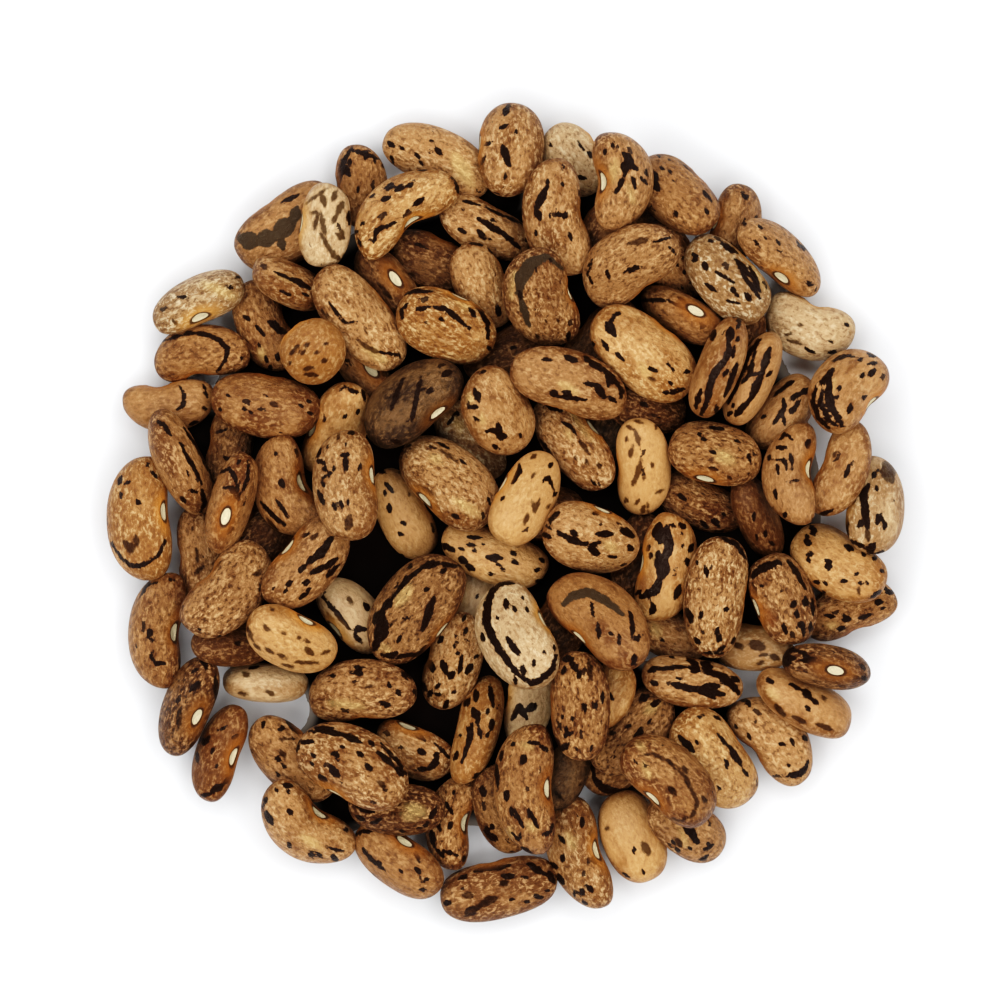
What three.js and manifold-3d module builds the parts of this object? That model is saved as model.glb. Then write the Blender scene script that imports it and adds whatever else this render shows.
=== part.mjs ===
// A shallow heap of dried pinto beans, about 100 mm across, as it lies on a flat surface.
// Millimetres, +Z up. The origin is on the surface under the middle of the heap.
// The heap is one solid: every bean that shows, at true size, fused to a low core.

import * as THREE from "three";
import { mergeVertices } from "three/addons/utils/BufferGeometryUtils.js";
import Module from "manifold-3d";

// ---------------------------------------------------------------- driving dimensions

// The form of every bean, as shares of its own length or width.
const THICKNESS = 0.73; // of the width
const BLUNT = 0.85; // exponent of the outline: 1 is an ellipse, and less has blunter ends
const HOLLOW = 0.3; // of the width: how deep the belly of a fully bent bean is

// The core under the beans that show.
const CORE_RADIUS = 44.6;
const CORE_RIM = 2.2;
const CORE_TOP = 8.5;
const CORE_SIDES = 40;
const CORE_STEPS = 4;

// Facets of one bean, and the growth that makes up for what the facets cut off.
const BEAN_SIDES = 9;
const BEAN_RINGS = 5;
const FACET_GROWTH = 1.05;

// How a bean comes to rest: it is dropped at its place, and may turn a little to lie lower.
const SINK = 0.6; // how far resting beans press into each other
const TURN_STEPS = [8, 4, 2]; // degrees, coarse to fine
const TURN_REACH = 2; // steps tried each way in each round
const ROLL_SHARE = 0.5; // a bean rolls this share of what it pitches
const TURN_COST = 0.0008; // mm that a turn has to gain, for each degree squared
const STATIONS = [-0.65, -0.33, 0, 0.33, 0.65]; // of the half length, where the balls of a bean are

// Beans under the others, which no one sees: they fill what is free of the surface.
const HIDDEN = { count: 60, spacing: 4.9, length: 12.4, width: 7.2, turn: 77, bend: 0.2 };
const HIDDEN_REACH = 37; // none lies further out
const GOLDEN_ANGLE = 137.508;
const ON_SURFACE = 3.2; // the highest middle of a bean that lies on the surface itself

// Places where the bare surface shows between the beans: x, y, radius.
const CLEARINGS = [
  [-15.5, -8.6, 3],
  [-8, -25, 4],
  [18.2, -18, 2.5],
  [10.8, -34.5, 3],
];

// The beans that lie lowest, one line each. x, y: middle. Then length, width, heading of the
// length in degrees from +X, roll about the length (90 has the belly up), and bend (0 to 1).
// The belly is on the left of the heading.
const LOWER_BEANS = [
  [17.6, 36.2, 9.5, 6.0, 10, 0, 0.1],
  [12.0, 34.6, 9.5, 6.0, 60, 0, 0.1],
  [21.0, 31.1, 11.3, 6.5, -60, 0, 0.2],
  [-30.0, 23.0, 12.0, 6.5, -68, 0, 0.2],
  [37.9, 23.1, 11.5, 7.5, -18, 10, 0.5],
  [-6.5, -38.5, 12.0, 6.6, 260, 46, 0.7],
  [-37.8, 19.5, 12.3, 6.9, 188, 5, 0.5],
  [-38.3, 26.1, 12.3, 7.1, 205, 55, 0.3],
  [14.1, -31.1, 10.5, 6.8, 40, 0, 0.2],
  [16.0, -27.6, 12.5, 7.8, 50, 0, 0.2],
  [-27.2, 35.3, 14.2, 8.6, 35, 0, 0.2],
  [-18.0, 40.7, 10.4, 6.5, 95, 0, 0.1],
  [-8.4, 43.8, 14.0, 7.3, 155, 0, 0.3],
  [8.6, 43.8, 9.8, 7.0, -55, 0, 0.1],
  [28.6, 35.6, 10.2, 6.6, 75, 40, 0.2],
  [21.3, 39.3, 12.8, 7.7, -44, 0, 0.1],
  [34.1, 31.8, 13.5, 7.2, 141, 60, 0.3],
  [-42.0, 13.4, 11.3, 6.5, 3, 10, 0.5],
  [-45.3, -0.8, 15.5, 8.8, -87, 46, 0.4],
  [-43.1, -14.9, 14.5, 7.3, 265, 46, 0.7],
  [-39.3, -23.9, 13.6, 7.7, 245, 45, 0.3],
  [-35.5, -30.0, 12.7, 6.3, 252, 50, 0.4],
  [-38.0, -5.5, 12.0, 6.3, 95, 0, 0.3],
  [-26.5, -30.8, 13.5, 7.5, -42, 0, 0.2],
  [-24.9, -39.0, 14.0, 8.0, -40, 15, 0.7],
  [-13.3, -43.4, 13.0, 7.5, -34, 42, 0.2],
  [-0.9, -47.1, 14.8, 7.3, 12, -10, 0.1],
  [9.3, -42.8, 14.0, 7.6, -74, 46, 0.6],
  [16.0, -40.7, 11.7, 7.7, -68, 0, 0.1],
  [22.6, -39.4, 11.8, 6.9, -35, 0, 0.1],
  [33.3, -28.3, 13.0, 7.5, 133, 10, 0.5],
  [26.0, -30.9, 15.3, 8.8, -53, 0, 0.2],
  [37.3, -23.8, 13.2, 7.2, -27, -30, 0.2],
  [43.1, -12.2, 12.0, 6.8, 200, 0, 0.3],
  [41.5, -6.5, 13.5, 8.0, -32, 0, 0.2],
  [46.0, 0.7, 13.2, 7.5, 84, 0, 0.2],
  [41.8, 5.1, 12.6, 6.3, 68, 0, 0.4],
  [34.5, 12.3, 11.0, 7.2, 52, -50, 0.2],
  [42.6, 15.1, 12.4, 8.5, 232, 0, 0.4],
  [-9.3, 31.1, 10.5, 7.0, -25, 0, 0.1],
  [-14.5, 28.1, 12.0, 7.5, -52, 60, 0.2],
  [-34.4, 8.0, 10.5, 5.9, 80, 0, 0.2],
  [-17.3, 17.1, 10.5, 6.5, -50, 75, 0.2],
  [-0.1, 19.8, 10.5, 6.0, 25, 0, 0.2],
  [-4.5, 8.9, 11.5, 6.3, -52, 0, 0.1],
  [12.4, 10.1, 10.0, 6.3, 75, 0, 0.1],
  [17.6, 12.9, 10.5, 6.5, -15, 0, 0.2],
  [24.5, 1.0, 11.5, 6.3, -25, 0, 0.2],
  [31.5, -0.8, 11.5, 6.5, -66, -75, 0.1],
  [20.5, -15.1, 10.5, 6.5, -30, 0, 0.2],
  [16.6, -5.6, 11.5, 6.0, 75, 0, 0.2],
  [13.0, -22.8, 9.0, 5.8, 65, 0, 0.1],
  [31.0, -17.0, 10.5, 5.8, -5, 0, 0.1],
  [-3.9, -11.1, 10.5, 5.8, 75, 0, 0.1],
  [2.9, -24.0, 10.5, 6.0, 80, 0, 0.1],
  [-0.5, -37.1, 12.5, 6.5, -70, 0, 0.2],
  [7.4, -33.0, 9.0, 5.7, 65, 0, 0.1],
  [-13.6, -36.9, 12.2, 6.7, -5, 0, 0.2],
  [-11.4, -29.9, 10.5, 6.8, -25, 40, 0.2],
  [-33.6, -16.4, 11.5, 5.8, 5, 0, 0.1],
  [-29.8, -21.4, 10.8, 6.6, -3, -80, 0.0],
  [-18.9, -12.9, 11.0, 6.8, 130, 35, 0.1],
  [-1.4, -5.5, 14.0, 6.8, -20, 0, 0.2],
  [-12.6, -0.4, 12.0, 6.4, -65, 0, 0.1],
  [-21.0, 10.4, 12.8, 7.6, 66, 38, 0.3],
  [-2.4, 35.4, 12.3, 6.5, -27, -20, 0.2],
  [-2.9, 28.1, 11.8, 6.8, -68, 0, 0.1],
];

// The beans that lie on those, in the order in which they came to rest.
const UPPER_BEANS = [
  [-26.8, 28.3, 10.3, 6.8, -24, -60, 0.1],
  [-22.3, 35.5, 10.5, 6.6, 84, 0, 0.1],
  [-12.8, 37.4, 14.8, 7.5, 218, 5, 0.8],
  [0.8, 45.1, 12.0, 8.2, 84, 0, 0.1],
  [6.6, 36.4, 14.3, 7.8, -80, 5, 0.5],
  [14.3, 41.0, 12.0, 8.1, 92, 38, 0.7],
  [22.0, 24.4, 11.5, 7.0, -27, 75, 0.2],
  [15.5, 30.6, 14.0, 8.5, 214, 0, 0.4],
  [27.6, 28.8, 12.8, 7.6, -45, -10, 0.1],
  [-18.0, 23.9, 15.0, 8.0, -51, 0, 0.1],
  [-7.4, 23.1, 13.0, 8.5, -24, 0, 0.1],
  [4.6, 26.6, 13.0, 9.0, -73, 0, 0.4],
  [-23.8, 19.9, 8.5, 7.8, 45, 0, 0.0],
  [-29.8, 13.1, 13.8, 8.0, -12, 0, 0.1],
  [-40.3, 6.0, 14.5, 7.8, -64, -60, 0.2],
  [-27.0, 2.8, 13.0, 7.8, -70, 36, 0.8],
  [-34.4, -9.9, 14.2, 8.0, 50, 0, 0.4],
  [-34.0, 1.0, 13.0, 7.4, 73, 75, 0.2],
  [-24.5, -6.4, 13.6, 7.6, 50, 5, 0.3],
  [-19.5, 3.1, 14.8, 8.8, -83, 38, 0.3],
  [-11.6, 13.5, 13.8, 8.9, 219, 40, 0.3],
  [-0.9, 12.4, 12.0, 8.5, -60, 0, 0.1],
  [-6.9, 3.6, 14.5, 9.3, 138, 35, 0.2],
  [17.1, 19.6, 15.0, 8.8, -40, 0, 0.1],
  [8.6, 8.4, 14.0, 6.8, -52, 0, 0.1],
  [8.1, 15.9, 14.8, 8.0, 162, 0, 0.3],
  [17.1, 5.5, 12.8, 7.0, 92, 0, 0.2],
  [26.1, 7.0, 11.8, 8.3, 168, 22, 0.1],
  [2.5, 1.5, 13.3, 7.5, 62, 0, 0.1],
  [30.9, 16.5, 12.3, 7.0, 65, -75, 0.1],
  [26.5, 17.8, 13.5, 7.4, 69, -70, 0.1],
  [35.8, 4.5, 13.0, 7.0, -90, 15, 0.7],
  [-26.5, -15.8, 12.5, 7.5, -27, 10, 0.2],
  [-3.5, -27.0, 15.1, 6.2, 76, -35, 0.2],
  [-6.5, -18.6, 13.3, 7.0, 75, 0, 0.2],
  [-11.1, -12.1, 15.5, 9.3, 232, 0, 0.1],
  [-17.8, -22.4, 14.8, 7.8, 185, 10, 0.3],
  [10.6, -3.3, 13.3, 8.3, -18, 0, 0.1],
  [9.3, -23.9, 13.5, 7.5, 92, 0, 0.1],
  [1.5, -15.6, 14.8, 9.0, -62, 0, 0.3],
  [20.0, -7.0, 13.5, 7.5, 80, 0, 0.3],
  [26.3, -10.5, 15.5, 8.0, -95, 0, 0.2],
  [12.0, -13.6, 16.0, 9.0, 135, 5, 0.4],
  [23.4, -21.3, 13.3, 6.8, -10, -20, 0.1],
  [34.5, -10.9, 12.0, 7.8, 110, 15, 0.1],
  [39.9, -19.3, 11.5, 7.2, -11, 80, 0.1],
  [-18.8, -31.6, 15.3, 9.0, 153, 0, 0.2],
  [2.9, -34.5, 16.5, 8.3, -87, 42, 0.6],
  [20.3, -33.3, 13.6, 8.8, 138, 40, 0.3],
];

// ---------------------------------------------------------------- one bean

const degrees = THREE.MathUtils.degToRad;
const power = (value, exponent) => Math.sign(value) * Math.abs(value) ** exponent;

// How far the ends of a bean curve to its belly, at a place from -1 to 1 along its length.
const lean = (bean, along) => HOLLOW * bean.bend * bean.width * (along * along - 1 / 3);

// A bean in its own frame, from a faceted ball: x is its length, +y its belly, z its thickness.
function beanGeometry(bean) {
  const geometry = new THREE.SphereGeometry(1, BEAN_SIDES, BEAN_RINGS);
  geometry.rotateZ(-Math.PI / 2);
  const points = geometry.attributes.position;
  for (let i = 0; i < points.count; i++) {
    const [across, up] = [points.getY(i), points.getZ(i)];
    const girth = Math.hypot(across, up);
    const fill = girth > 1e-6 ? (FACET_GROWTH * girth ** BLUNT) / girth : 0;
    const along = power(points.getX(i), BLUNT);
    points.setXYZ(
      i,
      (along * bean.length) / 2,
      (across * fill * bean.width) / 2 + lean(bean, along),
      (up * fill * THICKNESS * bean.width) / 2,
    );
  }
  return geometry;
}

// The balls that stand for a bean while it comes to rest: two side by side at each station.
function ballsOf(bean) {
  return STATIONS.flatMap((along) => {
    const girth = Math.sqrt(1 - Math.abs(along) ** (2 / BLUNT)) ** BLUNT;
    const radius = (girth * THICKNESS * bean.width) / 2;
    const apart = (girth * bean.width) / 2 - radius;
    return [-apart, apart].map((side) => ({
      at: new THREE.Vector3((along * bean.length) / 2, side + lean(bean, along), 0),
      radius,
    }));
  });
}

// ---------------------------------------------------------------- how the beans come to rest

// Heading, then pitch (the front end up), then roll (the belly up).
function turning(heading, pitch, roll) {
  return new THREE.Matrix4()
    .makeRotationZ(degrees(heading))
    .multiply(new THREE.Matrix4().makeRotationY(-degrees(pitch)))
    .multiply(new THREE.Matrix4().makeRotationX(degrees(roll)));
}

// The height at which a bean turned this way stops on the surface or on the beans below it.
function restingHeight(bean, turned, below) {
  let height = 0;
  for (const ball of turned) {
    height = Math.max(height, ball.radius - ball.at.z);
    for (const other of below) {
      const reach = ball.radius + other.radius - SINK;
      const gap = Math.hypot(bean.x + ball.at.x - other.at.x, bean.y + ball.at.y - other.at.y);
      if (gap < reach) {
        height = Math.max(height, other.at.z + Math.sqrt(reach * reach - gap * gap) - ball.at.z);
      }
    }
  }
  return height;
}

// Puts a bean down on those already there, turned a little so that it lies as low as it can.
function comeToRest(bean, placed) {
  const balls = ballsOf(bean);
  const below = placed
    .filter((other) => Math.hypot(other.x - bean.x, other.y - bean.y) < (other.length + bean.length) / 2)
    .flatMap((other) => other.balls);
  const turnedBalls = (pitch, roll) => {
    const turn = turning(bean.heading, pitch, roll);
    return balls.map((ball) => ({ at: ball.at.clone().applyMatrix4(turn), radius: ball.radius }));
  };
  let best = { cost: Infinity, pitch: 0, roll: bean.roll };
  for (const step of TURN_STEPS) {
    const from = best;
    for (let i = -TURN_REACH; i <= TURN_REACH; i++) {
      for (let j = -TURN_REACH; j <= TURN_REACH; j++) {
        const pitch = from.pitch + i * step;
        const roll = from.roll + j * step * ROLL_SHARE;
        const height = restingHeight(bean, turnedBalls(pitch, roll), below);
        const cost = height + TURN_COST * (pitch ** 2 + (roll - bean.roll) ** 2);
        if (cost < best.cost - 1e-6) best = { cost, pitch, roll, height };
      }
    }
  }
  const move = new THREE.Vector3(bean.x, bean.y, best.height);
  const resting = turnedBalls(best.pitch, best.roll);
  resting.forEach((ball) => ball.at.add(move));
  return { ...bean, z: best.height, pitch: best.pitch, roll: best.roll, balls: resting };
}

const beanOf = ([x, y, length, width, heading, roll, bend]) => ({
  x, y, length, width, heading, roll, bend,
});

// The hidden beans, on a spiral that spreads them evenly.
function hiddenBeans() {
  const beans = [];
  for (let k = 0; k < HIDDEN.count; k++) {
    const radius = HIDDEN.spacing * Math.sqrt(k + 0.5);
    const angle = degrees(GOLDEN_ANGLE * k);
    const [x, y] = [radius * Math.cos(angle), radius * Math.sin(angle)];
    const bare = CLEARINGS.some(([cx, cy, r]) => Math.hypot(x - cx, y - cy) < r + HIDDEN.width / 2);
    if (radius < HIDDEN_REACH && !bare) {
      beans.push({ ...HIDDEN, x, y, heading: HIDDEN.turn * k, roll: 0 });
    }
  }
  return beans;
}

// The whole heap from the bottom up. Only a hidden bean that finds free surface is kept.
function heap() {
  const placed = [];
  for (const bean of LOWER_BEANS.map(beanOf)) placed.push(comeToRest(bean, placed));
  for (const bean of hiddenBeans()) {
    const resting = comeToRest(bean, placed);
    if (resting.z < ON_SURFACE) placed.push({ ...resting, hidden: true });
  }
  for (const bean of UPPER_BEANS.map(beanOf)) placed.push(comeToRest(bean, placed));
  return placed;
}

// ---------------------------------------------------------------- the solid

const wasm = await Module();
wasm.setup();

// A closed three.js geometry as a solid that can be joined and cut.
function solidOf(geometry) {
  const bare = geometry.clone();
  bare.deleteAttribute("normal");
  bare.deleteAttribute("uv");
  const merged = mergeVertices(bare, 1e-4);
  return new wasm.Manifold(
    new wasm.Mesh({
      numProp: 3,
      vertProperties: merged.attributes.position.array,
      triVerts: new Uint32Array(merged.index.array),
    }),
  );
}

function geometryOf(solid) {
  const mesh = solid.getMesh();
  const geometry = new THREE.BufferGeometry();
  geometry.setAttribute("position", new THREE.BufferAttribute(mesh.vertProperties, 3));
  geometry.setIndex(new THREE.BufferAttribute(mesh.triVerts, 1));
  geometry.computeVertexNormals();
  return geometry;
}

// A low dome with a flat base, which every bean that shows reaches into.
function coreGeometry() {
  const profile = [new THREE.Vector2(0, 0), new THREE.Vector2(CORE_RADIUS, 0)];
  for (let i = 0; i <= CORE_STEPS; i++) {
    const share = 1 - i / CORE_STEPS;
    const height = CORE_TOP - (CORE_TOP - CORE_RIM) * share * share;
    profile.push(new THREE.Vector2(CORE_RADIUS * share, height));
  }
  return new THREE.LatheGeometry(profile, CORE_SIDES).rotateX(Math.PI / 2);
}

function placedGeometry(bean) {
  const turn = turning(bean.heading, bean.pitch, bean.roll);
  return beanGeometry(bean).applyMatrix4(turn).translate(bean.x, bean.y, bean.z);
}

// The core and the beans as one union above the surface. Only its outer shell is kept, without
// the hollows that the fused beans shut in.
function heapSolid() {
  const shown = heap().filter((bean) => !bean.hidden);
  const solids = [coreGeometry(), ...shown.map(placedGeometry)].map(solidOf);
  const shells = wasm.Manifold.union(solids).trimByPlane([0, 0, 1], 0).decompose();
  return shells.reduce((a, b) => (b.volume() > a.volume() ? b : a));
}

// ---------------------------------------------------------------- the scene graph

const beanSkin = new THREE.MeshStandardMaterial({ color: 0xa5713f, roughness: 0.45, metalness: 0 });
const beans = new THREE.Mesh(geometryOf(heapSolid()), beanSkin);
beans.name = "bean_heap";

const group = new THREE.Group();
group.name = "heap_of_dried_beans";
group.add(beans);

export default group;
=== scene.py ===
"""A shallow heap of dried pinto beans, dressed for Blender 4.5 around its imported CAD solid.

Every bean is a mesh of its own size and form, at the place where it lies in the CAD solid: the
same beans come to rest here by the same rule. Lengths of beans, marks and core are in mm, and
those of floor, lights and camera in metres.
"""

import math

import bpy
import numpy as np
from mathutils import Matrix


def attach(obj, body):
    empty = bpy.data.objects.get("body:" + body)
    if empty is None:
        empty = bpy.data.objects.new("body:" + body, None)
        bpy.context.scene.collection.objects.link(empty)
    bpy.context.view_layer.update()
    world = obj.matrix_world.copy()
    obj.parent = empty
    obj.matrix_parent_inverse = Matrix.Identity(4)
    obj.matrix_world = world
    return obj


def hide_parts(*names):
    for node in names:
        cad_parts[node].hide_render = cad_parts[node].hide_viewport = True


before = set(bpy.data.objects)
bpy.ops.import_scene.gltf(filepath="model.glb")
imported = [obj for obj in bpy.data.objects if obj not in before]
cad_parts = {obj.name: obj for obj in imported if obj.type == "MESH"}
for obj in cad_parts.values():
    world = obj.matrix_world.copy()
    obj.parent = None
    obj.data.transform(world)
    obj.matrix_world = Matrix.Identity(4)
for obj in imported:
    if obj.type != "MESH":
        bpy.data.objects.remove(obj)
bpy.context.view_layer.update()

MM = 0.001
SEED = 11000  # to which the number of each bean is added
TINY = 1e-9

# ------------------------------------------------------------------ the beans, as in the CAD source

THICKNESS = 0.73  # of the width
BLUNT = 0.85  # exponent of the outline: 1 is an ellipse, and less has blunter ends
HOLLOW = 0.3  # of the width: how deep the belly of a fully bent bean is

SINK = 0.6  # how far resting beans press into each other
STATIONS = (-0.65, -0.33, 0, 0.33, 0.65)  # places along a bean, from -1 to 1
TURN_STEPS = (8, 4, 2)  # degrees, coarse to fine
TURN_REACH = 2  # steps to either side
ROLL_SHARE = 0.5  # of the step of pitch
TURN_COST = 0.0008  # mm of height that a squared degree of turning has to win
BETTER = 1e-6  # mm that a better way to lie has to win

HIDDEN = dict(count=60, spacing=4.9, length=12.4, width=7.2, turn=77, bend=0.2)
HIDDEN_REACH = 37
# Painted shade: the hidden beans, deep in the heap, are made deeper.
HIDDEN_SHADE = -0.3
GOLDEN_ANGLE = 137.508
ON_SURFACE = 3.2

# Places where the bare surface shows between the beans: x, y, radius.
CLEARINGS = ((-15.5, -8.6, 3), (-8, -25, 4), (18.2, -18, 2.5), (10.8, -34.5, 3))

USUAL_MARK = 0.5  # width of a mark that gives none


def coat(name, light, deep, mottle, pale_highlight):
    """A kind of seed coat, which is one piece of the model: the pale and the deep shade of its
    ground, and the shades of its dark and its pale mottling, in sRGB. The dark mottling is partly
    painted shade in the creases of the wrinkles, and the pale mottling is partly painted highlight
    on their crests."""
    return dict(name=name, light=light, deep=deep, mottle=mottle, pale_highlight=pale_highlight)


PALE = coat("beans_pale", (184, 151, 112), (141, 105, 68), (85, 52, 29), (232, 211, 174))
GOLD = coat("beans_gold", (179, 134, 86), (136, 91, 49), (75, 39, 17), (232, 197, 146))
HONEY = coat("beans_honey", (162, 119, 77), (117, 76, 41), (64, 32, 15), (222, 184, 138))
TAN = coat("beans_tan", (148, 106, 67), (104, 66, 36), (56, 29, 14), (212, 169, 122))
RUST = coat("beans_rust", (139, 97, 59), (97, 58, 29), (51, 25, 11), (200, 156, 108))
BROWN = coat("beans_brown", (129, 91, 56), (86, 53, 28), (40, 21, 11), (186, 142, 98))
DARK = coat("beans_dark", (99, 72, 46), (58, 41, 28), (21, 14, 9), (140, 106, 72))
COATS = (PALE, GOLD, HONEY, TAN, RUST, BROWN, DARK)
# The cream marks are painted highlights, with some pale patches of the coat among them.
INKS = ("black", "umber", "sepia", "cream", "tawny")


def B(x, y, length, width, heading, roll, bend, coat, light=0.0, specks=0.35, mottle=0.7,
      hilum=0.0, **marks):
    """One bean: its place and form as in the CAD source, then its coat. light makes it paler or
    deeper: partly its own tone and, for beans low in the heap, partly a painted shade. specks and
    mottle say how much of those it has, and hilum how far its eye is from the middle, towards the
    heading. Its marks are named for their ink, but the cream marks are painted highlights, with some
    pale patches of the coat among them. Each is a width, which USUAL_MARK stands in for where it is
    left out, then the places it goes through, right and up from the middle of the bean as seen from
    above: one place is a spot, and more are a streak."""
    return dict(x=x, y=y, length=length, width=width, heading=heading, roll=roll, bend=bend,
                coat=coat, light=light, specks=specks, mottle=mottle, hilum=hilum, marks=marks)


# Where a bean low in the heap is made deeper by its light, that is partly its own tone and partly
# painted shade.
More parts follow.
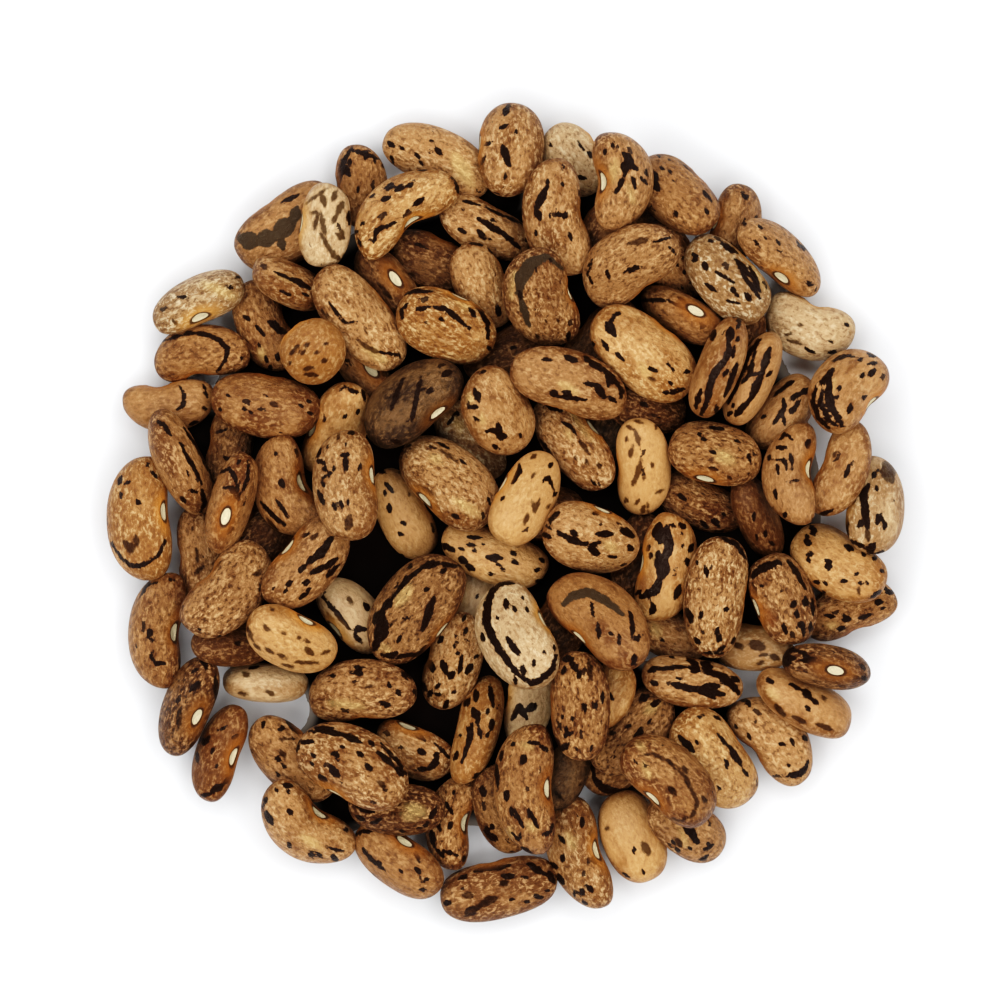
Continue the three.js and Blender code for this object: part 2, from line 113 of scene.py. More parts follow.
LOWER_BEANS = [
    B(17.6, 36.2, 9.5, 6.0, 10, 0, 0.1, BROWN),
    B(12.0, 34.6, 9.5, 6.0, 60, 0, 0.1, BROWN),
    B(21.0, 31.1, 11.3, 6.5, -60, 0, 0.2, TAN, light=-0.1, specks=0.6,
      black=[(0.4, -0.4), (1.3, -1.4), (1.1, -3.2)]),
    B(-30.0, 23.0, 12.0, 6.5, -68, 0, 0.2, RUST, light=0.1,
      black=[(1, 0.7, 0.7, 1.9, -0.3), (0.8, 1.4, -0.3, 2.7, -0.7), (-2.6, 1.4, -1.8, 0.9),
        (-1.1, 0.2, 0.1, -1.1), (-0.6, -2.3), (0.6, 0.3, -4.1), (0.8, 1.7, -3.8), (0.6, 0.8, -5.1)],
      cream=[(1, -0.3, -3.4)]),
    B(37.9, 23.1, 11.5, 7.5, -18, 10, 0.5, PALE, light=0.2, mottle=0.6,
      black=[(2.7, -2), (0.4, -0.6, -2.8, 0.9, -3.4), (2.3, -3.4, 3.4, -3.2), (4.7, 0.1)],
      sepia=[(0.4, -1.6, 0.1, -0.7, 0), (0.4, -3.1, -1.2, -2.2, -0.9), (0.4, -2.7, -1.8, -1, -2.3)]),
    B(-6.5, -38.5, 12.0, 6.6, 260, 46, 0.7, RUST, specks=0.6, mottle=1,
      black=[(0.6, -1.9, 0.1, -1.6, -1.3), (0.8, -2.7, -1.3, -2.3, -3.1), (-2.3, -3.3, -0.9, -4.7),
        (0.8, -0.3, -0.6), (-0.9, 2.2, 0.1, 0.8), (0.2, 3.6), (-1.1, -3.8, 0.6, -4.3),
        (0.4, 1.2, -3.3, 1.6, -2.3), (0.6, 2.3, -2.3), (1.4, -4.8)]),
    B(-37.8, 19.5, 12.3, 6.9, 188, 5, 0.5, RUST, specks=0.2, hilum=1,
      black=[(0.6, -4.9, 1.7, -1.5, 2.7, 0.4, 2.6, 2.2, 1.8, 3.4, 0.7, 3, -0.7, 2, -2.1),
        (5, -0.7, 5.2, -0.2)]),
    B(-38.3, 26.1, 12.3, 7.1, 205, 55, 0.3, PALE, light=-0.2, specks=0.3, mottle=0.9, hilum=0.2,
      black=[(0.4, -2.5, 0.5, -1, 0.5), (5, 3), (0.6, 4.1, 1.7)],
      sepia=[(0.4, -3, -2.3, -2.5, -3)],
      cream=[(1.2, 0.9, 2.2, 4.6, 0.6)]),
    B(14.1, -31.1, 10.5, 6.8, 40, 0, 0.2, BROWN, specks=0.4,
      black=[(0.6, -1, 1.5, 0.6, 2.5), (-3.2, 1, -3, -2.1), (1, -3, -2.1, -1.8, -3.5, 0.1, -3.7),
        (0.4, 0.1, -3.7, 1, -3.6)],
      sepia=[(0.6, -0.7, -1.5)]),
    B(16.0, -27.6, 12.5, 7.8, 50, 0, 0.2, BROWN, specks=0.7, mottle=1,
      black=[(1, 0.8, 4.2, 1.7, 4.7), (0.9, 2.7, 3.8), (1.9, 1.5), (0.6, -0.7, 0.9), (1, 0.6, 0),
        (0.8, 0.3, -0.6, 0.8, 0.7)],
      cream=[(1.2, 2.2, 3.2)]),
    B(-27.2, 35.3, 14.2, 8.6, 35, 0, 0.2, TAN, specks=0.25, mottle=0.5,
      black=[(0.6, -0.7, 3, 1.5, 4.1)],
      umber=[(2.4, -5.6, -1.3, -3.6, -1.9), (2.2, -3.6, -1.8, -1.3, -0.9),
        (2.4, -1.3, -0.9, 0.9, 0.8), (1.5, 0.9, 0.8, 1.4, 2.4), (1.2, -0.7, -1.4, -0.4, -2.6)]),
    B(-18.0, 40.7, 10.4, 6.5, 95, 0, 0.1, RUST, light=0.2,
      black=[(0.7, -1.1, 4.6, -2.4, 2.3, -2.8, -0.8), (-1.3, 4.4, 2.4, 3.2),
        (1, -2.1, 2.3, -1.3, 1.1), (0.9, 0.7, 3.7), (0.6, -1.3, 2.9), (1.8, 2.9), (-0.3, -0.6)]),
    B(-8.4, 43.8, 14.0, 7.3, 155, 0, 0.3, HONEY, light=0.4,
      black=[(0.8, -5.8, 1.9), (-4.4, 1.4), (0.4, -5.8, 0.5, -5.5, -0.4), (0.6, -2.5, 0.5),
        (0.9, 0.1, 1), (-0.7, 2.3), (-2, -0.5), (5.1, -3.9)],
      cream=[(2, 2.2, 0.4, 4.1, -3)]),
    B(8.6, 43.8, 9.8, 7.0, -55, 0, 0.1, PALE, light=0.4, specks=0.2,
      black=[(0.4, 0.5, 2.3, 1.2, 1.1), (0.8, 2.1, 0.6), (-2.9, 1.8), (0.2, -2.1, 1.5, -2.4)]),
    B(28.6, 35.6, 10.2, 6.6, 75, 40, 0.2, TAN, light=0.1, specks=0.6,
      black=[(0.6, 1.5, 3.5), (0.4, 0.8, 4.1, 1.5, 3.1), (2.7, 0.9)]),
    B(21.3, 39.3, 12.8, 7.7, -44, 0, 0.1, RUST, light=0.2,
      black=[(1.4, -2.9, 2.4), (0.8, -2.7, 1.7, -2.2, 0.4), (-1.8, 3.3), (-0.7, 2.9),
        (3.4, 0.4, 4.4, -0.9), (0.6, 3.7, -2.1), (0.6, -0.1, -2.4), (0.4, 0.8, 3.8, 2.6, 2.6),
        (-2.1, 4.8)]),
    B(34.1, 31.8, 13.5, 7.2, 141, 60, 0.3, TAN, light=0.3, specks=0.45, hilum=-1.1,
      black=[(0.6, -4.4, 4), (-2.4, 3.5), (-1.7, 2.1), (0.4, -3.2, 1.9, -2.4, 1.1), (-0.2, 1.6),
        (0.4, 2.2, 1.8, 3.5, 0.6), (0.6, 3.3, -3.2, 4.3, -3.6)]),
    B(-42.0, 13.4, 11.3, 6.5, 3, 10, 0.5, TAN, light=0.1, specks=0.13, mottle=0.3, hilum=-1,
      black=[(1.4, 2.3, 2.1, 1, 1.9, -0.3, 1.1, -0.8), (0.4, 2.7, -2.6, 3.7, -2.2), (4.6, -0.6),
        (0.4, 4.4, 2.4, 4.9, 0.8)]),
    B(-45.3, -0.8, 15.5, 8.8, -87, 46, 0.4, GOLD, light=-0.3, specks=0.2, mottle=0.5, hilum=-0.6,
      black=[(0.8, -2.6, 4.7), (-2, 4.2, -1.4, 4.5), (-2.5, 3.2, -2.4, 2.5),
        (0.6, -0.5, 2.1, 0.1, 1.7), (0.9, 6.6), (0.4, 1.2, 6, 2.1, 5),
        (-3.8, -3.1, -2.4, -5, -1.4, -5.9, 0, -6, 1.1, -5.5, 2.4, -4.5, 3.1, -2.8)],
      sepia=[(0.8, -2, -2.9, -1.1, -4.1), (0.8, -0.5, -2.3, -0.5, -3.5), (1.1, -1.1, -3.8)]),
    B(-43.1, -14.9, 14.5, 7.3, 265, 46, 0.7, RUST,
      black=[(0.4, -2.3, 4.2, -1.6, 5.6, 0.2, 6.2), (1.3, 6.5, 2, 6.3), (0.9, -1.1, -0.3),
        (-0.7, -1.2), (-2.7, -1.9), (0.6, -0.7, -3.4, -0.3, -4, 0.9, -4),
        (0.4, -1.1, -3.3, -0.7, -2.4)]),
    B(-39.3, -23.9, 13.6, 7.7, 245, 45, 0.3, BROWN, light=-0.1, specks=0.6, mottle=1,
      black=[(0.6, 1.5, 5.8, 2.4, 4.3), (0.8, 0.2, 1.6, 1.4, 2.7), (0.4, 3.9, 1, 4.3), (2.1, 4.4),
        (3.4, 3.7, 3.4, 0.6), (1.6, -0.2)],
      sepia=[(0.6, -1, -0.6, -1.3, -3.1)]),
    B(-35.5, -30.0, 12.7, 6.3, 252, 50, 0.4, RUST, light=-0.2, specks=0.2, mottle=0.4,
      black=[(-2.4, -5.5, -0.9, -5.2), (1, -0.9, -4.8, 0.3, -4.1), (0.3, -4.1, 1.4, -3),
        (0.8, -2.1, 1, -1.4, 1.8), (-0.2, 2.7, 0.9, 3.2), (0.6, -0.9, 0.2), (0.6, 1.7, 1.8, 2.3, 2.2),
        (-0.4, -1.7), (-2.9, 0, -2.8, -1.3), (-2.6, 1.4)]),
    B(-38.0, -5.5, 12.0, 6.3, 95, 0, 0.3, TAN, specks=0.25,
      sepia=[(-0.4, 0.9, -0.3, -0.9), (-0.7, -2.3, 0.7, -1.3), (-0.9, 3.3)]),
    B(-26.5, -30.8, 13.5, 7.5, -42, 0, 0.2, TAN, specks=0.4, mottle=0.8,
      black=[(-3.8, 3.9, -3.4, 4.7), (0.6, -1.7, 3.6, -0.9, 4), (0.8, -0.7, 4.7, 0.8, 3.2),
        (0.8, -2.1, 0.1, -1.4, -0.1), (0.6, -0.9, -1), (-1.8, -2)],
      sepia=[(0.4, -1.7, 2.5, 0.1, 2.4), (0.9, -1.1, 0.6)]),
    B(-24.9, -39.0, 14.0, 8.0, -40, 15, 0.7, HONEY, light=0.1, specks=0.3, mottle=0.6,
      black=[(-3.4, 4.3), (0.6, -2.7, 5.1, -1.5, 4.8), (-2, 4.3), (0.6, -5, 2.7, -4.7, 3.4),
        (-5.3, 2.3), (0.9, -4.8, 1.6, -4, 0.2), (0.8, -1.8, 1.7), (0.6, -2, -2.2, -1.8, -2.9),
        (0.4, 2.2, -2.6, 4, -3.1, 4.8, -3.3), (0.8, 0.8, -3.7), (0.4, 1.3, -3.3, 2.2, -4.2),
        (0.9, 3.7, -4.2), (5.2, -0.7)],
      cream=[(1, -0.2, -1.4, 1.8, -2.8)]),
    B(-13.3, -43.4, 13.0, 7.5, -34, 42, 0.2, RUST, specks=0.4, mottle=0.5,
      black=[(-5.5, 2.8, -4.5, 3.5, -2.1, 3.8), (0.6, -4.4, 1.4, -3.9, 0.7, -2.1, -1),
        (0.6, -2.3, -0.3), (-1.8, -1.1), (0.6, 0.4, -1.3), (0.8, 2.5, -1.2), (3, -2.6, 3.9, -2.2),
        (2.7, -3.6, 3.5, -3.6), (2.1, 1, 2.7, -0.1)],
      sepia=[(0.6, -0.6, 3.8, 0.2, 1.8)]),
    B(-0.9, -47.1, 14.8, 7.3, 12, -10, 0.1, TAN, light=-0.4, specks=0.4, mottle=0.6,
      black=[(0.6, -4.8, 1.3, -3.8, 1.7), (-3, 2.2, -0.5, 2.9), (0.6, -1.5, 2.4, 1.5, 3),
        (0.8, 0.5, 1.7, 2.3, 1.7), (0.8, -6.2, -1.7), (2.8, 1.7, 3.8, 1.4), (0.9, 3.8, 3.2, 5.8, 1.9),
        (0.8, 6.3, 2.2, 7, 0.8), (6.2, -0.1), (0.6, 4.5, -0.7, 5.6, -1.1), (0.6, 3.7, -1.5),
        (1.7, -1.2)],
      sepia=[(1, 0.8, 0.8), (1.1, -3.7, -0.7), (1.1, -4, -3.2, -2.3, -2.1), (1, -2.3, -2, -0.2, -1)]),
    B(9.3, -42.8, 14.0, 7.6, -74, 46, 0.6, HONEY, light=-0.2, specks=0.45,
      black=[(0.8, 0.3, 4.2), (0.6, -2.6, 2.4, -1.9, 1.6), (0.8, -2.1, -0.4),
        (0.8, -3.5, -1.1, -2.9, -1.6), (0.9, -2.7, -2.5, -2.1, -3.6), (0.6, -0.6, -4.8),
        (0.8, 0.3, -4.6), (0.8, 0.9, -3.8, 1.6, -4.4), (0.3, -5.8, 1, -6.1), (1.1, -0.6),
        (0.8, 1.8, -0.1, 1.9, -1)],
      cream=[(0.8, -1.5, 2.6, -0.7, 1)]),
    B(16.0, -40.7, 11.7, 7.7, -68, 0, 0.1, GOLD, specks=0.13, mottle=0.15,
      black=[(0.1, -1.1, 0.1, -1.9), (0.4, 1.1, -3.8, 1.4, -4.6), (0.4, -1.3, -4.4, -0.4, -4.9)],
      sepia=[(1, 1.2, -0.5, 1.9, -2), (-3.3, 1.2)]),
    B(22.6, -39.4, 11.8, 6.9, -35, 0, 0.1, TAN, light=0.1,
      black=[(1.1, -0.3, 0.8, 1.4, -1.8), (0.6, -1.6, -1.8), (0.6, -1.1, -2.7), (0.4, -2.5),
        (2.7, -2), (2.2, -2.8, 3.4, -2.1), (1.8, -4, 2.8, -3.5)],
      sepia=[(1, -1, -1.8)],
      cream=[(-0.7, -0.2, 0, -2.1)]),
    B(33.3, -28.3, 13.0, 7.5, 133, 10, 0.5, HONEY, light=0.2, hilum=0.5,
      black=[(0.8, -3, 4.4), (-4.5, 1.4), (-3, 0.7, -2.8, -0.1), (0.4, 2.2, 0.1, 2.7, -0.8),
        (0.9, -0.6, 1.7, -0.8), (0.4, 0.2, -4.7, 1.8, -4.7), (0.9, 1.8, -4.7, 3.4, -4.4, 4.2, -3.6),
        (4.2, -3.6, 4.5, -2.7), (2, -3.3), (0.6, 3.8, 0.3, 4.3, -0.2)]),
    B(26.0, -30.9, 15.3, 8.8, -53, 0, 0.2, GOLD,
      black=[(0.4, 3.3, 1.8, 1.6), (0.8, 1.9, 1.6, 3.4, -0.7), (0.6, 1.3, 0.1, 1.7, -1),
        (3.7, -1.3, 4.3, -2), (0.9, -4.4, 3, -2.6, 1.2), (-2.2, 2.2), (0.4, -2.3, 5.3, -1.1, 5.7),
        (0.4, -0.1, 5.5, 0.8, 5), (0.4, 4.8, -4.8, 4.7, -5.7), (0.6, -3.5)]),
    B(37.3, -23.8, 13.2, 7.2, -27, -30, 0.2, HONEY, light=0.1, specks=0.15, mottle=0.2,
      black=[(0.8, -4.4, 2.8), (0.6, -1.8, 2.4, -0.4, 1.6), (1, -0.4, 1.6, 0.8, 0.6),
        (0.6, 0.8, 0.6, 1.6, -0.2), (0, -0.4, 0.6, -1)],
      cream=[(0.8, -4.5, 1.7, -3.5, 0.7)],
      sepia=[(0.8, -3.6, -0.3, -2.6, -1.6), (0.7, -1.6, -1.7, 0, -2.4), (0.6, 1.4, -2.6, 3.5, -3.4),
        (0.6, 2.4, 0.6)]),
    B(43.1, -12.2, 12.0, 6.8, 200, 0, 0.3, RUST, light=0.1, specks=0.6, mottle=0.9,
      black=[(0.6, -3.2, -0.7, -2, -0.9), (-4.6, 0.4), (-1.1, -0.5, -0.6, -1.1), (0.9, -0.6, -1.2),
        (0.6, 1.1, -1.1, 2.4, -0.7), (0.8, -1.2, -2.4), (0.9, 3.4, 0.9), (0.8, 4.9, 2.1), (4.3, 2.6),
        (4, 0.1)],
      cream=[(0.8, -2.4, -2)]),
    B(41.5, -6.5, 13.5, 8.0, -32, 0, 0.2, GOLD, light=-0.1, specks=0.25, mottle=0.3,
      black=[(0.8, -3.1, 4.3), (0.6, -3.2, 3.7), (0.6, -3.8, 3.3), (0.9, -4.1, 2.8, -3.4, 2.4),
        (0.6, -3.8, 1.2, -3.2, 1.2), (0.6, -3.7, 0.4), (0.6, -1.7, 0.4, -0.9, 0.2),
        (1, -1.4, 0.1, -1.2, -0.7), (0.8, 0.8, 2.2, 1.8, 1.7), (3.1, 1.1), (4.2, 0.8, 4.6, 0.4),
        (0.6, 1.9, -1.4, 2.3, -1.2), (0.6, 0.2, -2.3, 0.9, -2.1), (0.8, 2.4, -2.4, 2.9, -2.4),
        (3.4, -2.3), (-3.1, -2.3, -2.3, -2.3), (-1.7, -2.4), (5.3, -0.9), (0.6, 3.8, -4.2, 5.3, -3.3),
        (-2.1, -3.7, -1.7, -3.6)],
      sepia=[(0.6, 2.4, -2.9, 2.4, -3.8)]),
    B(46.0, 0.7, 13.2, 7.5, 84, 0, 0.2, PALE, light=-0.2, specks=0.2, mottle=0.4,
      black=[(0.4, 4.5, -0.5, 3.2), (1, -0.8, 2.6, -1.5, 1.4, -1.3, -1.1, -1, -2.8),
        (1.2, -0.5, -5.3), (0.8, 0, -6, 1.6, -6), (-2.6, 4.5, -3.4, 2.2), (0.8, -3.5, 2, -3.9, -1.1),
        (0.6, -3.6, -1.1, -3.6, -4.4), (-3.3, -4.3, -1.1, -5.3), (-1.6, 3.6), (0.6, -2.6, 0.7),
        (0.6, 0.2, 2.2), (1.1, 0.4, -1.6), (0.6, 1.1, -1.9, 1.1, -3), (0.9, -2.3, -2.6, -1.4, -1.8)],
      sepia=[(2, 1.4, 5.1, 2, 3.2), (0.8, -1.1, -2.9, -0.9, -4.3)]),
    B(41.8, 5.1, 12.6, 6.3, 68, 0, 0.4, HONEY, specks=0.3, mottle=0.4,
      black=[(0.6, 0.9, 0.7, 0.4, -0.9), (-3.4, -5.9, -1.1, -4.9)],
      sepia=[(0.6, -0.9, 2)]),
    B(34.5, 12.3, 11.0, 7.2, 52, -50, 0.2, HONEY, light=0.2, specks=0.2, mottle=0.3,
      black=[(0.4, -1.3, 1.9, 1.2, 3.9), (0.8, 2.4, 2.5, 3.4, 2.9), (0.6, 2.4, 2.5, 0.9, 1.5),
        (0.6, 0.6, 3.4, 1.4, 3.8), (0.7, 0.1, 1.6, 0.3, 0.6, -0.7, -0.9, -1.1, -1.5),
        (0.2, -0.6, 0.3, -1.5), (0.6, 1.3, 0.6, 0.8, 0), (-2.3, -0.5), (0.6, 2.2, 1.6, 1.2, -0.2)]),
    B(42.6, 15.1, 12.4, 8.5, 232, 0, 0.4, HONEY, light=0.2, specks=0.15, mottle=0.3,
      black=[(0.8, -3.5, 0.7, -2.5, 1.6, -1.9, 2.6), (-2, 3.5, -0.4, 4.2, 1, 4.1),
        (0.6, -4, 0.5, -4.4, -1.5, -3.7, -3.5, -2.4, -4.8),
        (1.1, -2.3, 1.2, -2.5, -0.5, -2.2, -2.2, -0.7, -4.5),
        (0.6, -3.2, 0.2, -3.4, -1.8, -2.5, -3.7, -1.4, -4.7), (1.2, 3.6, 1.9, 3.9),
        (2.5, 3.2, 3.5, 3.3), (1, 2.9, 2.1), (0.7, 1.8, 1.8), (0.6, -1.1, 0.2), (0.6, -1.4, -0.9),
        (0.6, 1.9, -1), (0.7, 0.3, -1.8, 0, -3), (2.5, 4.5, 3.5, 4.2)],
      cream=[(-1.7, 1.1, -2.3, -0.5)]),
    B(-9.3, 31.1, 10.5, 7.0, -25, 0, 0.1, BROWN,
      black=[(0.4, -1.8, 2.2, -0.3, 1.6)]),
    B(-14.5, 28.1, 12.0, 7.5, -52, 60, 0.2, BROWN, hilum=-0.4,
      sepia=[(-1.3, 0.2, 0.4, -1.7)]),
    B(-34.4, 8.0, 10.5, 5.9, 80, 0, 0.2, BROWN, specks=0.3, mottle=0.8,
      black=[(0.4, -1.7, 1.8, -0.2, 2.2), (-0.7, -1.2, 0.3, -1.7)]),
    B(-17.3, 17.1, 10.5, 6.5, -50, 75, 0.2, BROWN),
    B(-0.1, 19.8, 10.5, 6.0, 25, 0, 0.2, BROWN, light=-0.4,
      black=[(0.6, 1, 0.6)]),
    B(-4.5, 8.9, 11.5, 6.3, -52, 0, 0.1, PALE, light=-0.5,
      black=[(-2.6, 1.9, -1.7, 3.2), (-1.4, 3.3)],
      cream=[(1.2, -1.3, 1.9)]),
    B(12.4, 10.1, 10.0, 6.3, 75, 0, 0.1, DARK),
    B(17.6, 12.9, 10.5, 6.5, -15, 0, 0.2, BROWN, light=-0.5, specks=0.5,
      black=[(0.8, -0.3, 0.4), (0.4, 0.6, -0.8, 1.6, -1.2)]),
    B(24.5, 1.0, 11.5, 6.3, -25, 0, 0.2, RUST, specks=0.6, mottle=1,
      black=[(0.8, -2.4, 0.8), (0.8, 0.3, -2.6), (0.9, 1.8, -2.4), (2.7, -1.4)]),
    B(31.5, -0.8, 11.5, 6.5, -66, -75, 0.1, BROWN, light=-0.3, specks=0.15, mottle=0.3,
      black=[(-0.6, 0.6, -0.6, -0.3), (0.6, 0.9, -2), (-0.2, -2.4), (1.3, -2.9, 1.9, -3.3)]),
    B(20.5, -15.1, 10.5, 6.5, -30, 0, 0.2, TAN, specks=0.4, mottle=0.8,
      black=[(-0.9, -1)],
      cream=[(1.2, -1.9, 0.9, -1.4, -0.3)]),
    B(16.6, -5.6, 11.5, 6.0, 75, 0, 0.2, BROWN, light=-0.5),
    B(13.0, -22.8, 9.0, 5.8, 65, 0, 0.1, GOLD, specks=0.2, mottle=0.3,
      black=[(0.6, -0.5, 0.4, 0.4, -0.5), (-1, -2, -0.1, -2)]),
    B(31.0, -17.0, 10.5, 5.8, -5, 0, 0.1, PALE, light=-0.5, specks=0.1, mottle=0.2,
      sepia=[(0.9, -1.9, 0.2), (1.6, 0.4, 0.3), (0.8, -0.9, 1.8, -0.8), (1, 2.6, -1.2),
        (0.4, -1.9, 1.2, -1.7)]),
    B(-3.9, -11.1, 10.5, 5.8, 75, 0, 0.1, PALE, specks=0.15, mottle=0.2,
      black=[(0.5, 0.5)]),
    B(2.9, -24.0, 10.5, 6.0, 80, 0, 0.1, PALE, light=0.3, specks=0.2, mottle=0.3,
      black=[(1.1, -3.5, 0.7, -2.3, 0.7), (0.9, -2, -1.9, -1.1, -0.4, -0.2, -1.8),
        (1, -0.2, -0.8, 1, -0.1)]),
    B(-0.5, -37.1, 12.5, 6.5, -70, 0, 0.2, BROWN, light=-0.1, specks=0.4,
      black=[(1.1, -2.2, 2.3), (0.8, -1.8, -2.2, -1.6, -3), (0.9, -1.6, -3.1, -0.6, -3.8),
        (0.6, -1.1, -2.1)]),
    B(7.4, -33.0, 9.0, 5.7, 65, 0, 0.1, DARK, specks=0.2, mottle=0.4,
      sepia=[(0.4, -1.1, -1.9, -0.1, -2.9)]),
    B(-13.6, -36.9, 12.2, 6.7, -5, 0, 0.2, BROWN, light=-0.5, specks=0.7, mottle=1,
      black=[(0.6, -4.5, 0.2), (0.6, -4.2, -0.2, -2.6, -0.4), (0.8, -4.3, -1.2),
        (0.6, -3, -1.8, -1.8, -1.4), (0.9, -2.8), (0.6, 4.2, -1.5, 5.2, 0.2), (3.4, -2.3, 4.2, -1.8)],
      cream=[(1.8, 2.5, -0.2), (1, 1.7, -1)]),
    B(-11.4, -29.9, 10.5, 6.8, -25, 40, 0.2, HONEY, hilum=-2,
      black=[(0.9, 1.1, 0), (2.6, -0.4, 3.2, -0.2), (0.6, 0.5, -2.2, 2, -2.2), (1, 2, -2.2, 3, -1.2),
        (0.8, 2.3, -1.8, 3.1, -0.8), (2.7, -0.2, 3.2, -0.9), (0.2, 2.3, 1.5, 1.3),
        (0.4, 2.7, 1, 4.5, -0.8), (0.6, 0.7, 2)]),
    B(-33.6, -16.4, 11.5, 5.8, 5, 0, 0.1, BROWN, light=-0.5, specks=0.2, mottle=0.5,
      black=[(0.6, 0.4, 0)]),
    B(-29.8, -21.4, 10.8, 6.6, -3, -80, 0.0, PALE, light=0.2, specks=0.1, mottle=0.25,
      black=[(0.4, -2.1, 1.8, -0.9, 2)],
      sepia=[(0.8, -2.4, 1.1), (0.4, -3.3, -1.2, -2.1, -1.4), (0.8, 0.7, -1.2)]),
    B(-18.9, -12.9, 11.0, 6.8, 130, 35, 0.1, PALE, light=0.3, specks=0.15, mottle=0.2,
      black=[(0.9, 1.7, 1), (0.6, -3.8, 2.3, -2, 0.2, -0.3, -1.9),
        (0.8, 0.2, -2.3, 0.7, -1.7, 1.7, -1.8), (0.6, 0.2, -2.5, 1.1, -3.5)],
      sepia=[(0.8, -0.4, 1.8), (-3.2, 0.2, -2.2, -1.2)]),
    B(-1.4, -5.5, 14.0, 6.8, -20, 0, 0.2, GOLD, light=0.4, specks=0.2, mottle=0.3,
      black=[(-3.3, 2.3, -1.5, 2.2), (-3.3, 1.4, -2.2, 1.3), (-1.2, 1.4), (-4.3, 0.9, -3.7, 0.7),
        (-2.4, 0.6), (0.9, -4.2, -0.3, -3.3, -0.8), (0.9, -3.3, -1.3, -2.5, -1.7),
        (0.9, -0.8, -0.2, 1, -0.3), (0.6, 0, -0.6), (0.6, -1.1), (-0.7, -2.2, 0.2, -2.3),
        (0.6, 1.1, -1.7), (0.8, 2.5, 0.3), (0.8, 2.7, -0.8), (0.8, -6.5, 1.4, -4.9, 0.6),
        (0.6, 5.1, -1.9, 5.8, -1.7), (5.8, -0.3, 6.3, -0.9), (5.3, -3.3, 6.1, -3.1)]),
    B(-12.6, -0.4, 12.0, 6.4, -65, 0, 0.1, GOLD, light=0.8, specks=0.2, mottle=0.2,
      black=[(0.6, -2.3, 3.8, -1.2, 2.8), (-2.3, 2.7), (0.8, -1.8, 0.8), (-0.4, -0.9, 0.3, -1.2),
        (0.6, -0.6, -2.3, -0.1, -2.5), (0.6, -0.9, -5.4, -0.1, -5.2), (0.6, -3.4, 5.6, -2.2, 5.1)],
      sepia=[(0.7, 2.5)]),
    B(-21.0, 10.4, 12.8, 7.6, 66, 38, 0.3, GOLD, specks=0.25, mottle=0.3, hilum=-0.7,
      black=[(-1.3, 1), (1.1, 1.4), (2.7, 2), (3.3, 4.8, 3.7, 3.3), (1.1, 5, 2.9, 4.2),
        (0.4, 0.4, 4.5, 1.1, 5.2)]),
    B(-2.4, 35.4, 12.3, 6.5, -27, -20, 0.2, HONEY, light=0.2, specks=0.4,
      black=[(0.8, -0.9, 1, 3.3, -1.5), (0.6, 1.8, -0.5, 4.3, -2.7), (0.4, -2.8, 3.2, -0.7, 2.7),
        (0.8, -0.9, -0.5, -0.2, -1.5), (0.6, -3.4, -0.3, -2.4, -0.8), (0.5, -1.6),
        (0.4, -0.2, 2.5, 4.3, 0.5), (0.6, 1, 0.8)]),
    B(-2.9, 28.1, 11.8, 6.8, -68, 0, 0.1, HONEY, light=0.2, specks=0.22,
      black=[(0.4, -1.4, 5.2, 0.1, 5), (0.4, 0.5, 5.2, 2.3, 3.1), (0.9, 2.1, -3.2)]),
]

